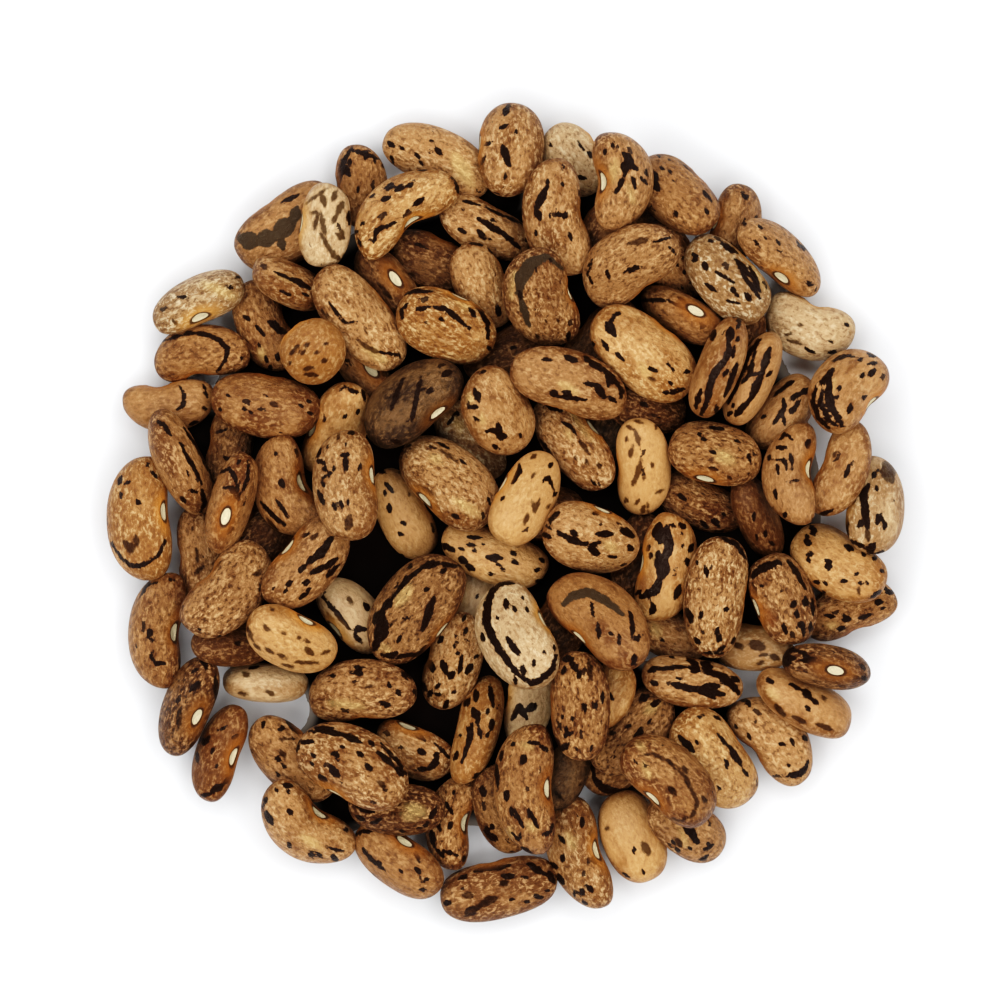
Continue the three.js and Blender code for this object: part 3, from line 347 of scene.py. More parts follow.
UPPER_BEANS = [
    B(-26.8, 28.3, 10.3, 6.8, -24, -60, 0.1, HONEY,
      black=[(0.4, -1.8, 1.4, 1.2, 0.1), (0.8, 0.5, 0.5, 2.5, -0.6), (0.4, -1.1, -0.9, 0.2, -1.5),
        (0.4, 1.6, -1.2, 2.5, -1.6)],
      sepia=[(0.8, -3.1, 2.1)],
      cream=[(0.4, -1.3, 1, 0.7, 0.3)]),
    B(-22.3, 35.5, 10.5, 6.6, 84, 0, 0.1, PALE, specks=0.2, mottle=0.4,
      black=[(2.9, 1.7, 3, 0.2)],
      sepia=[(0.4, -2.5, 2.6, 0.5, 4.7), (0.8, -0.5, 3.9, 0, 2.4), (0.9, 1.2, 3.7),
        (0.9, 1.4, 1.4, 2.2, 2.8), (0.8, 1.2, 0.8), (0.4, -1.8, 1.6, -0.5, 1.4),
        (0.6, -0.9, 1.4, -1.3, -0.8), (0.6, -0.5, 1.4, 0, -1.3),
        (0.7, -0.5, -1.1, 1.1, -3.8, 2, -4.3), (0.9, 2, -1.2), (0.6, 1.4, -1.1, 2.4, -1.6),
        (0.6, 2.4, -3.8)]),
    B(-12.8, 37.4, 14.8, 7.5, 218, 5, 0.8, GOLD,
      black=[(1, -1.5, 2.9), (1, -0.3, 2.7), (0.8, 1, 3), (0.6, -3.6, 1.7), (0.8, -2, 1.4),
        (0.6, 1.4, 0.5, 2.7, 1.4), (0.6, -3.5, -4.1, -3.1, -2.6, -0.6, -1.5), (-4.8, -1.7),
        (0.6, -5.8, -2.8), (0.4, -5.4, -3.6, -5, -4.5), (0.4, 2.1, 5, 3.2, 5.2), (6.6, 4, 7, 2.2)]),
    B(0.8, 45.1, 12.0, 8.2, 84, 0, 0.1, HONEY, specks=0.25,
      black=[(1, -0.7, 4.7), (0.6, -1.4, 2.5, -0.4, 3), (0.6, 2), (-3.2, 0.4, -2.4, 0.8),
        (1, -1.1, 0.3, -0.2, -2.1), (0.6, -0.7, -3.5), (0.4, -4, -2.3, -3.2, -1)]),
    B(6.6, 36.4, 14.3, 7.8, -80, 5, 0.5, HONEY,
      black=[(1, -1.4, 3.8, -2.8, 0.9), (0.9, -2.7, 0.8, -2.2, -0.2), (-1.3, 4.5), (0.5, 4.2),
        (-1, 0.2), (0.6, -0.4, 0.4, 0.3, 0.4), (0.6, 1, 0.7, 0.7, -0.2), (0.6, 1.3, -1.8, 1.7, -2.8),
        (0.4, 2.6, 3.4, 3, 2.4), (0.6, 6.3), (-2.8, -1.8)]),
    B(14.3, 41.0, 12.0, 8.1, 92, 38, 0.7, TAN, light=0.2,
      black=[(1, 0.4, 3.3, 1.4, 2.3), (1.2, 0.6, 2.3, 0.6, 0.9), (0.8, 1.1, 1.9, 2.1, 1.3),
        (0.6, 0.6, 0.7, -0.6, -1.6), (1.5, 0.4, 1.8, -1.1), (-0.9, 4.2), (0.6, -1.9, 3.4),
        (0.4, 3, 1.4, 3.5, 0.4), (0.4, 2.5, 0.4, 3.4, -0.6)],
      cream=[(1, -0.6, 2.3, -0.9, -0.2), (0.6, 1.1, -0.8, 1.6, -2.7)]),
    B(22.0, 24.4, 11.5, 7.0, -27, 75, 0.2, RUST, light=0.3, hilum=2.8,
      black=[(-4.9, 1.9, -1.6, 1.8), (0.4, -1.6, 1.7, 2.4, -0.2), (0.4, -0.6, 2.4, 1.4, 0.5),
        (-4.7, 0.3)]),
    B(15.5, 30.6, 14.0, 8.5, 214, 0, 0.4, TAN, light=0.3, specks=0.2, mottle=0.8,
      black=[(0.4, 2.9, 2.7, 5.2, 3.3), (0.4, 4.7, 2.2, 5.7, 1.1), (0.6, -0.8, -1, 1.4, -0.3),
        (0.4, -4.7, 0.6, -5.3, -1.3), (0.4, -5.1, -1.4, -4.7, -2.3), (0.4, -2.9, -0.7, -2.6, -1.8)],
      sepia=[(0.8, -0.1, 2.5, 2.1, 3)]),
    B(27.6, 28.8, 12.8, 7.6, -45, -10, 0.1, PALE, light=-0.5,
      black=[(0.8, -0.7, 4.4, 1.2, 3.3), (0.9, 1, 2.4, 2.8, 0.4), (0.8, 2.8, 1.4, 4.1, -1.7),
        (1.2, 1.6, 4, -2.4), (0.8, -4, 2.9), (-4.4, 2.3, -3.7, 2.4), (0.9, -2.7, 1.6),
        (-1.5, 0.9, -0.4, 0.3, 0.8, -0.4), (0.6, -2.7, -0.6, -1.3, -1.6), (0.8, 0.7, -1.4), (1.2, -2),
        (0.9, 2.3, -1.7, 2.8, -2.7), (0.4, 0, -2.7, 1.6, -3), (-2.4, 4.9, -1.7, 4.6)],
      cream=[(3.1, 2, 4.6, -1.1)]),
    B(-18.0, 23.9, 15.0, 8.0, -51, 0, 0.1, HONEY, light=0.2, specks=0.15, mottle=0.8,
      black=[(0.4, -3.7, 2, -2.9, 0.7, -1.7, -0.7, -0.1, -0.3), (0.4, 2.4, -4.2, 4.9, -4.5),
        (4.9, -4.6), (0.4, -6.1, 1.9, -5.6, 1), (0.4, 2.1, 3.8, 4.3, 0.7)],
      sepia=[(-4.7, 1, -3.7, -0.1), (0.6, 0.8, -1.5), (0.6, -0.4, -2.5, 0.9, -3.6, 2.4, -4.2)],
      cream=[(1, 0.6, -3.7, 3.1, -5.2)]),
    B(-7.4, 23.1, 13.0, 8.5, -24, 0, 0.1, GOLD, light=-0.3, specks=0.2,
      black=[(0.6, -3.9, 1.8, -1.9, 2.2), (0.7, -1.4, 2.2, 0, 2, 1.6, 0.8, 3, -0.5),
        (-5.3, 3.8, -3.7, 4.2, -1.3, 4.1), (0.6, 0.3, 3.7, 2.5, 3),
        (0.6, 3.1, 3.3, 4.3, 1.8, 5.3, 0.2, 5.3, -1.7), (0.8, 3.3, 1.7), (3.6, 1.1),
        (-4.5, 2.7, -5.4, 1.8, -5.3, 0.6), (-2.4, 0.3), (0.6, -0.5, 0.7), (0.6, 5.5, -2.9)],
      cream=[(0.6, 1.8, 2.7, 3.1, 1.8)]),
    B(4.6, 26.6, 13.0, 9.0, -73, 0, 0.4, TAN, mottle=0.9,
      black=[(0.8, 3.3, -4.9)],
      sepia=[(0.6, -0.5, -4.9), (0.5, -3.2), (2, -3)],
      cream=[(-3.3, 3, -3.9, -0.2)],
      umber=[(1.7, 0.6, 4.9, -1.3, 4.1, -2.6, 2.2, -2.9, 0.5),
        (0.9, -2.9, 0.5, -2.2, -1.8, -1.6, -3.6), (0.6, 0.6, 4.9, 2.6, 3.4)]),
    B(-23.8, 19.9, 8.5, 7.8, 45, 0, 0.0, GOLD, light=-0.4, specks=0.1, mottle=0.25,
      sepia=[(0.6, -1.9, 0.4), (0.6, -1.3, -0.3), (0.6, -0.7, 0.7), (0.6, 0.5, -0.3),
        (0.6, 1.5, -1.2), (0.6, -2.5, -0.3), (-1.3, -2.4, 0.1, -2.1), (-2.8, -1.5),
        (-1, -2.9, 0.6, -3.1), (1.6, 0.8)]),
    B(-29.8, 13.1, 13.8, 8.0, -12, 0, 0.1, RUST, light=-0.1, specks=0.5, mottle=0.45,
      black=[(-4.5, 1.3), (-5.6, -0.4), (-2.5, -0.4), (-1.8, -0.8), (0.1, 1.2), (0.6, 4.5, 0),
        (5.5, 0.6), (5.7, -1)],
      sepia=[(0.8, 1.1, 0.2)]),
    B(-40.3, 6.0, 14.5, 7.8, -64, -60, 0.2, TAN, specks=0.4, mottle=0.6,
      black=[(-3, 5.3, -2, 4.7, -1.1, 3.4), (0, 2.6, 0.7, 1.1, 1.7, -0.6, 2.7, -2.6),
        (0.6, 2.7, -3.3, 3, -4.9, 2.5, -6.1), (0.4, 0.4, 4.4, 2.2, 1.7, 3.7, -1.4),
        (0.6, 3.6, -0.6, 4, -2.3), (1, -1.3), (1.1, -3.4, 2.1, -3.6), (0.1, -4.3, 0.6, -4.9)]),
    B(-27.0, 2.8, 13.0, 7.8, -70, 36, 0.8, RUST, light=0.1, specks=0.2, mottle=0.5,
      black=[(-1.4, 4.4), (0.9, -0.7, 0.6), (0.6, -3.3, -1.6, -1.7, -3.4, -0.2, -4.6),
        (-1.3, -1.4, 0.2, -3.6)],
      sepia=[(0.4, -2.6, -3.6, -1.2, -5.4)]),
    B(-34.4, -9.9, 14.2, 8.0, 50, 0, 0.4, TAN, light=0.1, specks=0.3, mottle=1,
      black=[(0.4, -3.7, -4.3, -3.2, -5), (-1.2, -5.7, -0.5, -5.8)],
      sepia=[(0.4, -1.8, 2.5, -0.8, 3.6), (0.8, 3.8, 2.3)]),
    B(-34.0, 1.0, 13.0, 7.4, 73, 75, 0.2, RUST, specks=0.3, mottle=0.6, hilum=-1.2,
      black=[(-1.3, 3.8, -0.1, 4.3, 0.8, 2.7, 1.1, 0.4), (0.6, -0.8, 1.9, 0.2, 1.9, 0.8, 0.6),
        (0.4, 2.2, 5.4, 2.2, 3.2, 1.4, 1.1), (1.1, 5.1), (-1.4, -2.1), (0.8, -0.1, -3.4)]),
    B(-24.5, -6.4, 13.6, 7.6, 50, 5, 0.3, TAN, mottle=0.6,
      black=[(-0.8, 3.2, 0.3, 3.7), (1.1, 0.1, 0, 1.8, 1.3, 3.2, 3.2), (0.9, -0.6, -0.7),
        (0.8, 0.9, -1.2, 2.1, -0.3), (0.8, 2.2, -0.7, 3.8, 0.6), (0.9, -0.1, -2.4),
        (0.6, 2.4, -1.8, 3.9, -0.3), (0.8, -2.2, -2.5), (-2.6, -3.5), (-4.2, -3.2), (0.8, 0.9, -1),
        (-0.9, -4.4, 0.1, -3.7), (0.2, -3.3)],
      sepia=[(0.8, 0.9, 3.2)]),
    B(-19.5, 3.1, 14.8, 8.8, -83, 38, 0.3, HONEY, specks=0.25, hilum=-0.2,
      black=[(0.6, 0.2, 6.6, 0.9, 6.6), (-0.1, 5.2), (-0.7, 3.8, 0.4, 4), (0.9, -0.1, 3),
        (0.8, -0.1, 2.3), (-3.3, 4.7, -3.7, 3.6), (0.6, -3.7, 3.2, -2.7, 2.8), (0.6, -2.8, 2.2),
        (-1.6, 2.2), (-3.2, 1.1, -2.1, 1.2), (0.6, -2.1, 1.6), (-3.1, 0.6, -2.8, 0),
        (0.6, -3.6, -0.4, -2.8, -2.3), (-1.7, -2, -1.3, -3), (-0.8, -1.8, -0.4, -2.9), (0.6, 0.2, -2),
        (0.6, 1.6, 2.3)],
      sepia=[(0.6, -1.1, 6.2), (1.4, 0.3, -4.5)]),
    B(-11.6, 13.5, 13.8, 8.9, 219, 40, 0.3, DARK, mottle=0.5, hilum=-1.6,
      black=[(1, 4.4, 3.6), (0.8, 2.3, 1.4), (0.6, 1.3, 1.6), (0.6, -2.3, -4.7, -1.2, -5.2),
        (0.6, -1, 3, -2.5, -1), (0.6, 1.2, 3.2, 0, -2.5)]),
    B(-0.9, 12.4, 12.0, 8.5, -60, 0, 0.1, HONEY, specks=0.2, mottle=0.5,
      black=[(0.9, -2.8, 2.7, -2.3, 1.3), (0.6, -3.7, 0.5, -2.4, 0.5), (0.4, -2.9, -0.7, -2.2, -1.3),
        (0.6, -1.4, -2.5, 0, -2.3), (0.9, 0, -1.5, 0.3, -3.5), (0.8, 0.3, -3.1, 1.1, -3.1),
        (0.4, -2.4, 4.7, -1.3, 4.9), (-0.7, -4.2, 0.2, -4.7), (2.8, -3)],
      cream=[(0.8, -3.4, 1.5), (0.8, -1.9, -1.1)]),
    B(-6.9, 3.6, 14.5, 9.3, 138, 35, 0.2, HONEY, specks=0.2, mottle=0.9, hilum=0.2,
      black=[(0.4, -1.5, 5, 0.1, 4.1), (0.4, 1.3, 2.8, 2.1, 2.2), (4.8, -1.8, 5.1, -2.8),
        (0.4, 0.2, -4, 1.5, -4.5)],
      sepia=[(-1.2, 4.1, 1.1, 2.5), (-4.3, -0.3, -1.8, -1.5)],
      cream=[(1, -2.2, 3.2, -1.2, 2.5), (1, 0.7, -2.2, 3.8, -4)]),
    B(17.1, 19.6, 15.0, 8.8, -40, 0, 0.1, GOLD, specks=0.15, mottle=0.5,
      black=[(1.2, -4.5, 3.7, -3.5, 2.2), (-4.5, 3.7, -3.3, 4.6), (0.4, -3.9, 4.6, -2.7, 5),
        (0.6, -5, 1.6, -4.3, 0.3), (-6.2, 1.2), (-3.3, 0.1, -2.3, -1), (0.7, -1.8, 1.8, -2.3),
        (3.2, -1.4), (3.7, -2), (5.2, -2.4, 5.8, -2.2), (3.5, -3.7),
        (0.6, 2.6, -4.9, 3.8, -4.8, 5.1, -4.4)],
      sepia=[(0.7, -3, 1.5, -3.5)],
      cream=[(1.1, 0.2, -2.2)]),
    B(8.6, 8.4, 14.0, 6.8, -52, 0, 0.1, HONEY, specks=0.15, mottle=0.9,
      black=[(0.8, -3.5, 4.9, -2.3, 4.3), (0.4, -2.3, 4.3, -1.4, 4),
        (0.4, -1.5, 2.7, -0.5, 2.2, 0.3, 1), (0.4, 2.2, -4.6, 2.8, -5.2),
        (0.4, -4.2, 0.5, -2.9, -1.3)],
      sepia=[(0.6, 0.7, 0.3, 1.8, -1.2), (0.6, 1.5, -2.3), (0.6, 3.1, -2.7), (0.2, -1.7)],
      cream=[(0.8, -0.7, 1.2), (-0.4, 4, 2.1, 0.5)]),
    B(8.1, 15.9, 14.8, 8.0, 162, 0, 0.3, TAN, specks=0.1, mottle=0.5,
      black=[(-3.5, 2.9, -2.2, 2.8), (0.9, -0.7, 3.3, 0.8, 2.7), (0.8, 1.6, 3.3, 2.8, 2.3, 4.6, 1.3),
        (1.1, 4.3, 1.3, 5.8, -0.1), (0.6, 5.8, -0.1, 6.6, -1.3), (1, -2.4, -1.1, -1.7, -1.5),
        (0.9, -0.8, -1.1, 0.1, -1.7), (-1.7, -1.7, 2, -2.1), (0.6, 1.6, 0, 3.2, -0.3),
        (1.1, 3.2, -0.3, 4.2, -1.7), (0.4, 4.5, 0.5, 4.7, -0.5), (0.8, 5.2, -2),
        (0.4, 6.2, -1, 6.3, -2)],
      cream=[(1, -1.2, -0.1, 0.7, -1.3)]),
    B(17.1, 5.5, 12.8, 7.0, 92, 0, 0.2, GOLD, light=0.6, specks=0.15, mottle=0.1,
      sepia=[(0.4, -1, 5.8, 0.1, 5.3), (-1.9, 5.1, -1.2, 4.7), (0.6, -1, 4.6, -0.4, 2.7),
        (0.6, -1.2, 2.6, -1.5, 1.3), (-2, 3.4), (0.7, -0.2, 0.9, -0.5, -0.6, -1.2, -2.2), (1.2, 0.2),
        (0.2, -1.3), (1.7, 5.1), (0.4, 1.7, -3.2, 2.6, -2.8), (0.6, -2, -4.1),
        (-0.9, -4.6, -0.4, -4.1), (0.8, 0.1, -5.3), (0.4, 0.6, -4.4, 0.8, -5.7)]),
    B(26.1, 7.0, 11.8, 8.3, 168, 22, 0.1, RUST, light=0.2, specks=0.4, mottle=1, hilum=0.7,
      black=[(-2, 2.6), (-1.4, 1.9), (0.6, -0.3, 0.3), (0.6, 2.7, 1.7), (4.1, 0.1, 4.3, -0.9),
        (4.2, -2.4), (-1, -1.6, 0.3, -1.8), (1.7, -2.8), (-0.7, 3.4, 1.1, 3.2)],
      cream=[(1.8, 1.1, -0.3)]),
    B(2.5, 1.5, 13.3, 7.5, 62, 0, 0.1, GOLD, light=0.4, specks=0.15, mottle=0.15,
      black=[(0.6, -0.7, 4.3, -0.7, 3.4, -1.7, 1.9), (0.6, 3.1, 4.2), (2.1, 2.1, 2.9, 2.7, 3.6, 1.2),
        (3.7, 0.6), (-2.8, 0.1)],
      sepia=[(0.6, 1.1, 5.3), (0.4, 0.8, 2.7, 1.4, 3.3), (0.9, -0.1, 1.2, -1.6),
        (1.9, 0.2, 1.2, -1.6), (2.9, -0.9), (0.4, -1.9, -0.1, -3.2)]),
    B(30.9, 16.5, 12.3, 7.0, 65, -75, 0.1, HONEY, light=0.3, specks=0.15, mottle=0.2,
      black=[(0.8, 0.7, 4.8, -0.8, 2.8, -2.3, -1.1, -3.2, -3), (0.6, 0.2, 3.8, -0.6, 0.5, -1.6, -0.6),
        (0.9, 2, 3.8, 1.4, 2.2, 1, 0.5), (1.1, 1, 0.5, 0.2, -1.1, -0.3, -2.4),
        (0.8, -0.3, -2.4, -1.6, -3.8, -2.3, -4.7), (-0.3, 0.4, 1.2, 0.7), (0.7, 1.9, 0.6),
        (0.6, -3, -4.4), (-2.6, -3.4)]),
    B(26.5, 17.8, 13.5, 7.4, 69, -70, 0.1, HONEY, specks=0.2, mottle=0.2,
      black=[(0.9, -0.6, 4.6, -0.9, 3.5), (1, 1.5, 4.9, 1.2, 3.2),
        (0.9, 1.2, 3.2, 0.8, 0.9, -0.2, -0.1, -1, -1.7, -1.5, -4.3, -2.2, -5.8), (1.5, 2.8, 1.1, 1.2),
        (1.9, 2.6, 1.7, 1.2), (0.6, 0.5, -1, 1.2, -0.3), (0.8, 2.6, 6), (0.6, 2.4, 5.1),
        (0.6, 2.3, 3.5), (0.7, -2.3, -2.7, -2.9, -5), (0.6, -0.4, -4.7, -0.2, -5.8),
        (0.7, 2.3, 0.6, 1.4, -1.8, 0.7, -3.6)]),
    B(35.8, 4.5, 13.0, 7.0, -90, 15, 0.7, TAN, light=0.2, specks=0.2, mottle=0.3, hilum=-0.5,
      black=[(-1.7, 4.4, -1, 5.1, -0.1, 4.4), (0.6, -2, 3.4, -1, 3.4),
        (-2.4, 1.9, -1.1, 1.8, -0.9, 0.7), (0.6, -0.4, 2.6, -0.2, 1.4), (-0.2, 0.9),
        (-2.1, 1.2, -1.9, 0.1), (0.9, 1.8, 3.9), (0.4, -1, -0.9, 0.8, -0.6), (-2.4, -1.8, -2.2, -2.9),
        (-3, 2.2), (2, 1.8), (0.6, -1.1, -4.9), (-2.7, -4.3), (2.3, -5.6, 4, -4.9)]),
    B(-26.5, -15.8, 12.5, 7.5, -27, 10, 0.2, GOLD, light=0.1, specks=0.15, mottle=0.3,
      black=[(3.3, 1.6)],
      sepia=[(-5.4, 1.6, -4.6, -0.3), (-4.6, -0.5, -3.8, -1.4), (-3.2, -1.1, -2.1, -1.8),
        (-1.7, -1.9, -0.3, -2.5), (0.4, -2.9, 3.4, -3), (0.4, -1.1, -3.1, 0.3, -3.5),
        (0.8, -2.9, 1.4), (-2.3, 3.7), (-0.9, 0.7), (1.1, 0.1), (2.1, -0.3), (1, 2.3, -1.5),
        (3.8, -1.9, 4.8, -1.5)]),
    B(-3.5, -27.0, 15.1, 6.2, 76, -35, 0.2, GOLD, light=-0.2, specks=0.2, mottle=0.3,
      black=[(0.8, -0.1, 4.6, -0.1, 3.4), (1.2, -0.4, 2.3, 0.2, 1.1), (0.6, 1.6, 5.4, 2.1, 2.7),
        (0.6, 1.4, 2.1), (0.8, 1.9, 1.1, 1.8, -0.1), (0.7, -0.6, 0.8, -0.8, -1.2, -1.8, -4.1),
        (0.6, 0.1, 0.6, 0.6, -1.2), (0.6, 1.3, -0.8), (-1.2, 0.2, -0.9, -0.6), (-2.1, -0.9),
        (0.8, -2.6, -3.4), (0.9, -1.2, 3.2), (0.8, -0.3, -6.1, 0.3, -5.7),
        (0.4, 0.3, -5.7, 1.7, -4.7)]),
    B(-6.5, -18.6, 13.3, 7.0, 75, 0, 0.2, HONEY, light=0.2, mottle=0.9,
      black=[(1, -1.3, -0.1, -0.7, -1.5), (0.9, -2.8, -0.1, -2.4, -1.3), (0.6, 1.2, 0.7, 0.8, -1.5),
        (0.9, -0.1, -1.8), (0.9, 1.8, -1.5, 2.3, -0.5), (0.6, 1.4, 3.2, 1.8, 4.2), (0.2, 1.8),
        (0.4, 0.9, 0.9, 1), (0.8, -1.4, 2.7), (0.6, -1.8, -3.1), (0.8, -2.8, -4.1),
        (-2.2, -4.2, -1.4, -4.2), (-0.1, -4, 0.4, -3.8), (0.8, -0.8, -5.5), (0.6, 1.4, 5.3),
        (2.7, 0.3, 3.2, 0.7), (0.6, -3.7, -2.8, -3.4, -3.8)]),
    B(-11.1, -12.1, 15.5, 9.3, 232, 0, 0.1, BROWN, specks=0.3, mottle=0.9,
      black=[(1.1, 1.2, 5.3, 2.7, 5.7), (2.7, 5.7, 5.4, 5.3), (0.7, -2.8, 1.5, -0.8, 3.9, 1.2, 5.3),
        (1, -4, 0, -2.8, 1.2), (1.5, -5, -1.7, -4, -0.3), (1.8, -4.7, -4, -3.7, -1.7),
        (1, -5.1, -5.1, -4.7, -4), (0.6, -4.3, -5.7, -2, -6.1),
        (0.6, -2.8, -5.1, -2, -5.8, 0.3, -5.7, 2.3, -4.3, 3.8, -2.3),
        (1, 2.3, 1.4, 1.7, -0.3, 0.9, -2.7), (0.8, 3.5, 4.7), (0.9, 2.3, 1.7, 2.5),
        (-1.6, -1.2, -0.5, -1), (-2.2, -4.1, -1.8, -3.3), (0.6, -0.6, 5.3)],
      sepia=[(0.4, -3.5, -2.3, -2.8, -1.7)],
      cream=[(1.5, -2.3, 0.8, -0.8, 2.7), (0.6, -3.8, -4.7, -3.2, -5.7), (-4.6, -4.8)]),
    B(-17.8, -22.4, 14.8, 7.8, 185, 10, 0.3, TAN, specks=0.4, mottle=0.9,
      black=[(-1, 3.1, 0.4, 3), (0.8, -0.4, 2.5), (-1.4, 2.5, 0, 2.1), (-4, 2, -3.3, 2),
        (5.1, 2.5, 5.6, 1.5), (5.6, 2.5, 6.2, 1.7), (3.4, 1.1, 3.7, 0.6), (0.6, 4.4, 0, 4.9, -0.4),
        (4.7, 0.1), (0.6, 6.7, 0.1), (0.6, 7.1, -0.4), (0.8, 2.7, -1.4), (0.6, 3.2, -1.5),
        (3, -1.9, 3.5, -1.5)],
      sepia=[(0.4, 0.6, 0.7, 1.6, 0.7)],
      cream=[(1, -3.9, -1.4, 0, -1.8)]),
    B(10.6, -3.3, 13.3, 8.3, -18, 0, 0.1, HONEY, light=0.2, specks=0.3, mottle=0.6,
      black=[(0.8, -4, 0.9, -3.8, 0.4), (0.8, -3.8, 0.5, -2.2, -0.3, -0.8, -0.8), (0.8, -2, 0.7),
        (0.6, -0.8, -0.8, -0.4, -0.5), (0.6, 0.1, -0.8, 1.3, -0.5), (1, 0, -1.3, 1, -2),
        (1.1, 0.3, -1.4), (0.8, 0.7, 0.5, 2.8, 0.5), (1, 3.8, 1.2, 5.3, 0.1),
        (0.8, 4.8, -1, 5.2, -1.6), (0.4, 2.1, -2.3, 3.2, -2.4), (0.3, 3.1, 1.3, 3.1),
        (0.6, -6, 0.5, -4.8, 0.1), (0.6, -5.3, 1.4), (0.6, -5.2, 2.2, -4.5, 2.4),
        (0.6, -4.5, 2.9, -3.9, 3.2), (3.1, 3.1)],
      cream=[(1.2, 2.5, -1.1)]),
    B(9.3, -23.9, 13.5, 7.5, 92, 0, 0.1, RUST, specks=0.6, mottle=1,
      black=[(0.8, -2.1, 5.7, -0.9, 5.7), (0.9, -1.1, 5.3, -0.4, 4.2), (0.8, -0.1, 3.7),
        (0.6, -2.2, 3.8, -1.9, 4.6), (0.6, 0.4, 0.3, 0.5, -0.7), (0.6, 2, 0.1),
        (0.6, 2.8, 1.5, 2.8, 0.3), (-2.2, -1.5), (0.6, -2.2, -4, -0.9, -3.4),
        (0.8, -2.5, -5.7, -1.5, -4.8), (-1.7, -2.9), (0.6, -3.1, -4.3), (1.4, -5.4), (-1, -1.7),
        (0.6, -3.2, -3.9, -2.6, -5.8)],
      sepia=[(0.8, 1.1, 5.6, 1.3, 3.2)]),
    B(1.5, -15.6, 14.8, 9.0, -62, 0, 0.3, PALE, light=0.2, specks=0.12, mottle=0.5,
      black=[(-1.9, 6.7, -0.4, 6.7),
        (1, 0.4, -4.8, -0.9, -3.3, -2.9, -0.3, -3.8, 1.8, -3.7, 3.9, -3.1, 5.7, -1.9, 6.7),
        (0.8, 0.4, -4.8, 1.8, -5.6, 2.9, -5.2, 4.3, -4, 4.8, -2.2), (0.6, -1.4, 4.8, -1.3, 3.4),
        (0.6, -0.3, 3.5), (0.6, 1.2, 3.5), (0.7, 4.9), (0.9, -1.2, 0, 0.3, -2.1), (0.6, 2.1, -3.1),
        (3.4, -1.8), (4.6, -1.3), (0.6, -0.2, -5.3), (1, 0.8, -4), (-2.4, 2.4),
        (0.6, -4.3, 0.5, -4.1, -0.5)]),
    B(20.0, -7.0, 13.5, 7.5, 80, 0, 0.3, GOLD, light=-0.2, specks=0.15, mottle=0.2,
      black=[(1.8, -0.9, 5.2, -0.7, 3.3), (1.2, 0.1, 5.1, 0.4, 2.9, -0.1, 0.8),
        (1.2, -0.9, 1.9, -0.9, -0.1), (1.8, -0.1, 0.8, -0.6, -1.2),
        (1.2, -0.6, -1.2, -1.4, -2.8, -3.1, -3.7), (0.6, -3.7, -3.3, -3.1, -2.9),
        (-1.9, 1.2, -1.8, 1.9), (0.6, -2.2, 2.4), (0.6, 0.6, 5.3, 1.2, 5.1),
        (0.8, 1.8, 5.4, 2.4, 4.9), (2.1, 2.7), (0.8, 3.1, 2.4), (0.8, 2.6, 1.2, 2.7, 0.3),
        (0.8, 1.8, -2.2, 1.1, -3.9), (0.4, -1.9, -3.9, -1.4, -5.4), (1, -1.6, -5.3)],
      cream=[(0.6, -1.1, 4.9), (0.8, -0.8, 3.4, -0.8, 2.9), (0.8, -1.1, 1.9, -1.4, 0.9)],
      tawny=[(1, -3.1, -0.4, -2.8, -2.8)]),
    B(26.3, -10.5, 15.5, 8.0, -95, 0, 0.2, HONEY, mottle=1,
      black=[(0.8, -2.5, 6.8, -1.7, 7.6, 0.1, 7.7), (0.6, 0.1, 7.6, 2.4, 6.4, 3.8, 4.4),
        (-1.5, 3.8, -1.2, 2.4), (-2.5, 4.1), (0.8, -2, -2.4), (0.8, -3.7, -1.6, -3.1, -3.3),
        (0.8, 0, -4.4), (0.8, 0.3, -5.3), (0.6, 0.9, -1.7, 1.4, -1.6), (0.6, -2.7, -5.3, -2, -5.9),
        (0.6, 0.3, -6.6, 1, -6.3), (0.6, 2.1, -5.6), (0.4, -1.9, -7.1, 1.3, -7.1)]),
    B(12.0, -13.6, 16.0, 9.0, 135, 5, 0.4, RUST, specks=0.15, mottle=0.3,
      black=[(0.6, 3.4, 1.2, 3.8, -0.6, 3.6, -2.2), (0.6, 4.3, -2.1), (3.6, -2.3, 4.9, -1.6),
        (-1.3, 2.6, -1.1, 0.6), (0.6, -0.6, -0.2, -0.4, -2), (0.6, 1.2, -1.5), (2.1, -1.6, 2.1, -2.8),
        (0.8, 4.1, -4, 3.8, -5.3)],
      umber=[(1.2, -4.7, 2.1, -3.6, 3.2, -1.7, 3.6, 0.4, 2.6, 2.5, 0.9)]),
    B(23.4, -21.3, 13.3, 6.8, -10, -20, 0.1, HONEY, specks=0.3, mottle=0.6,
      black=[(0.8, -5.5, 1.4, -4.5, 1.9), (0.6, -4.5, 1.7, -2.6, 1.9, -0.6, 2),
        (1, -0.6, 2, 0.8, 1.5), (0.9, 0, 2.5), (0.8, -2.7, -0.1, -0.6, -0.6),
        (0.9, -2.1, -0.5, 1.2, -0.9, 2.7, -1.9), (0.8, 1.3, -0.3, 3.3, -0.5), (0.6, -1.7, 0.5),
        (0.8, -4.8, 0), (1, 1.2, 2.4, 2.2, 2), (1.1, 1.5, 1.4, 3.5, 0.9, 4.5, 0, 5.7, -1.3),
        (-2.6, 3.2), (0.9, -0.3, 2.9), (0.8, 1.7, -1.1, 3.8, -1.5), (0.9, 5.2, 0.4),
        (1, 1.4, 2.2, 2.2, 1.2)]),
    B(34.5, -10.9, 12.0, 7.8, 110, 15, 0.1, TAN, light=-0.1, specks=0.4, mottle=0.9,
      black=[(1.1, -3.3, 3.2, -1.6, 4.5), (0.8, -3.7, 2.7, -3.1, 3.7), (0.9, -2.3, 3.8, -0.6, 4.6),
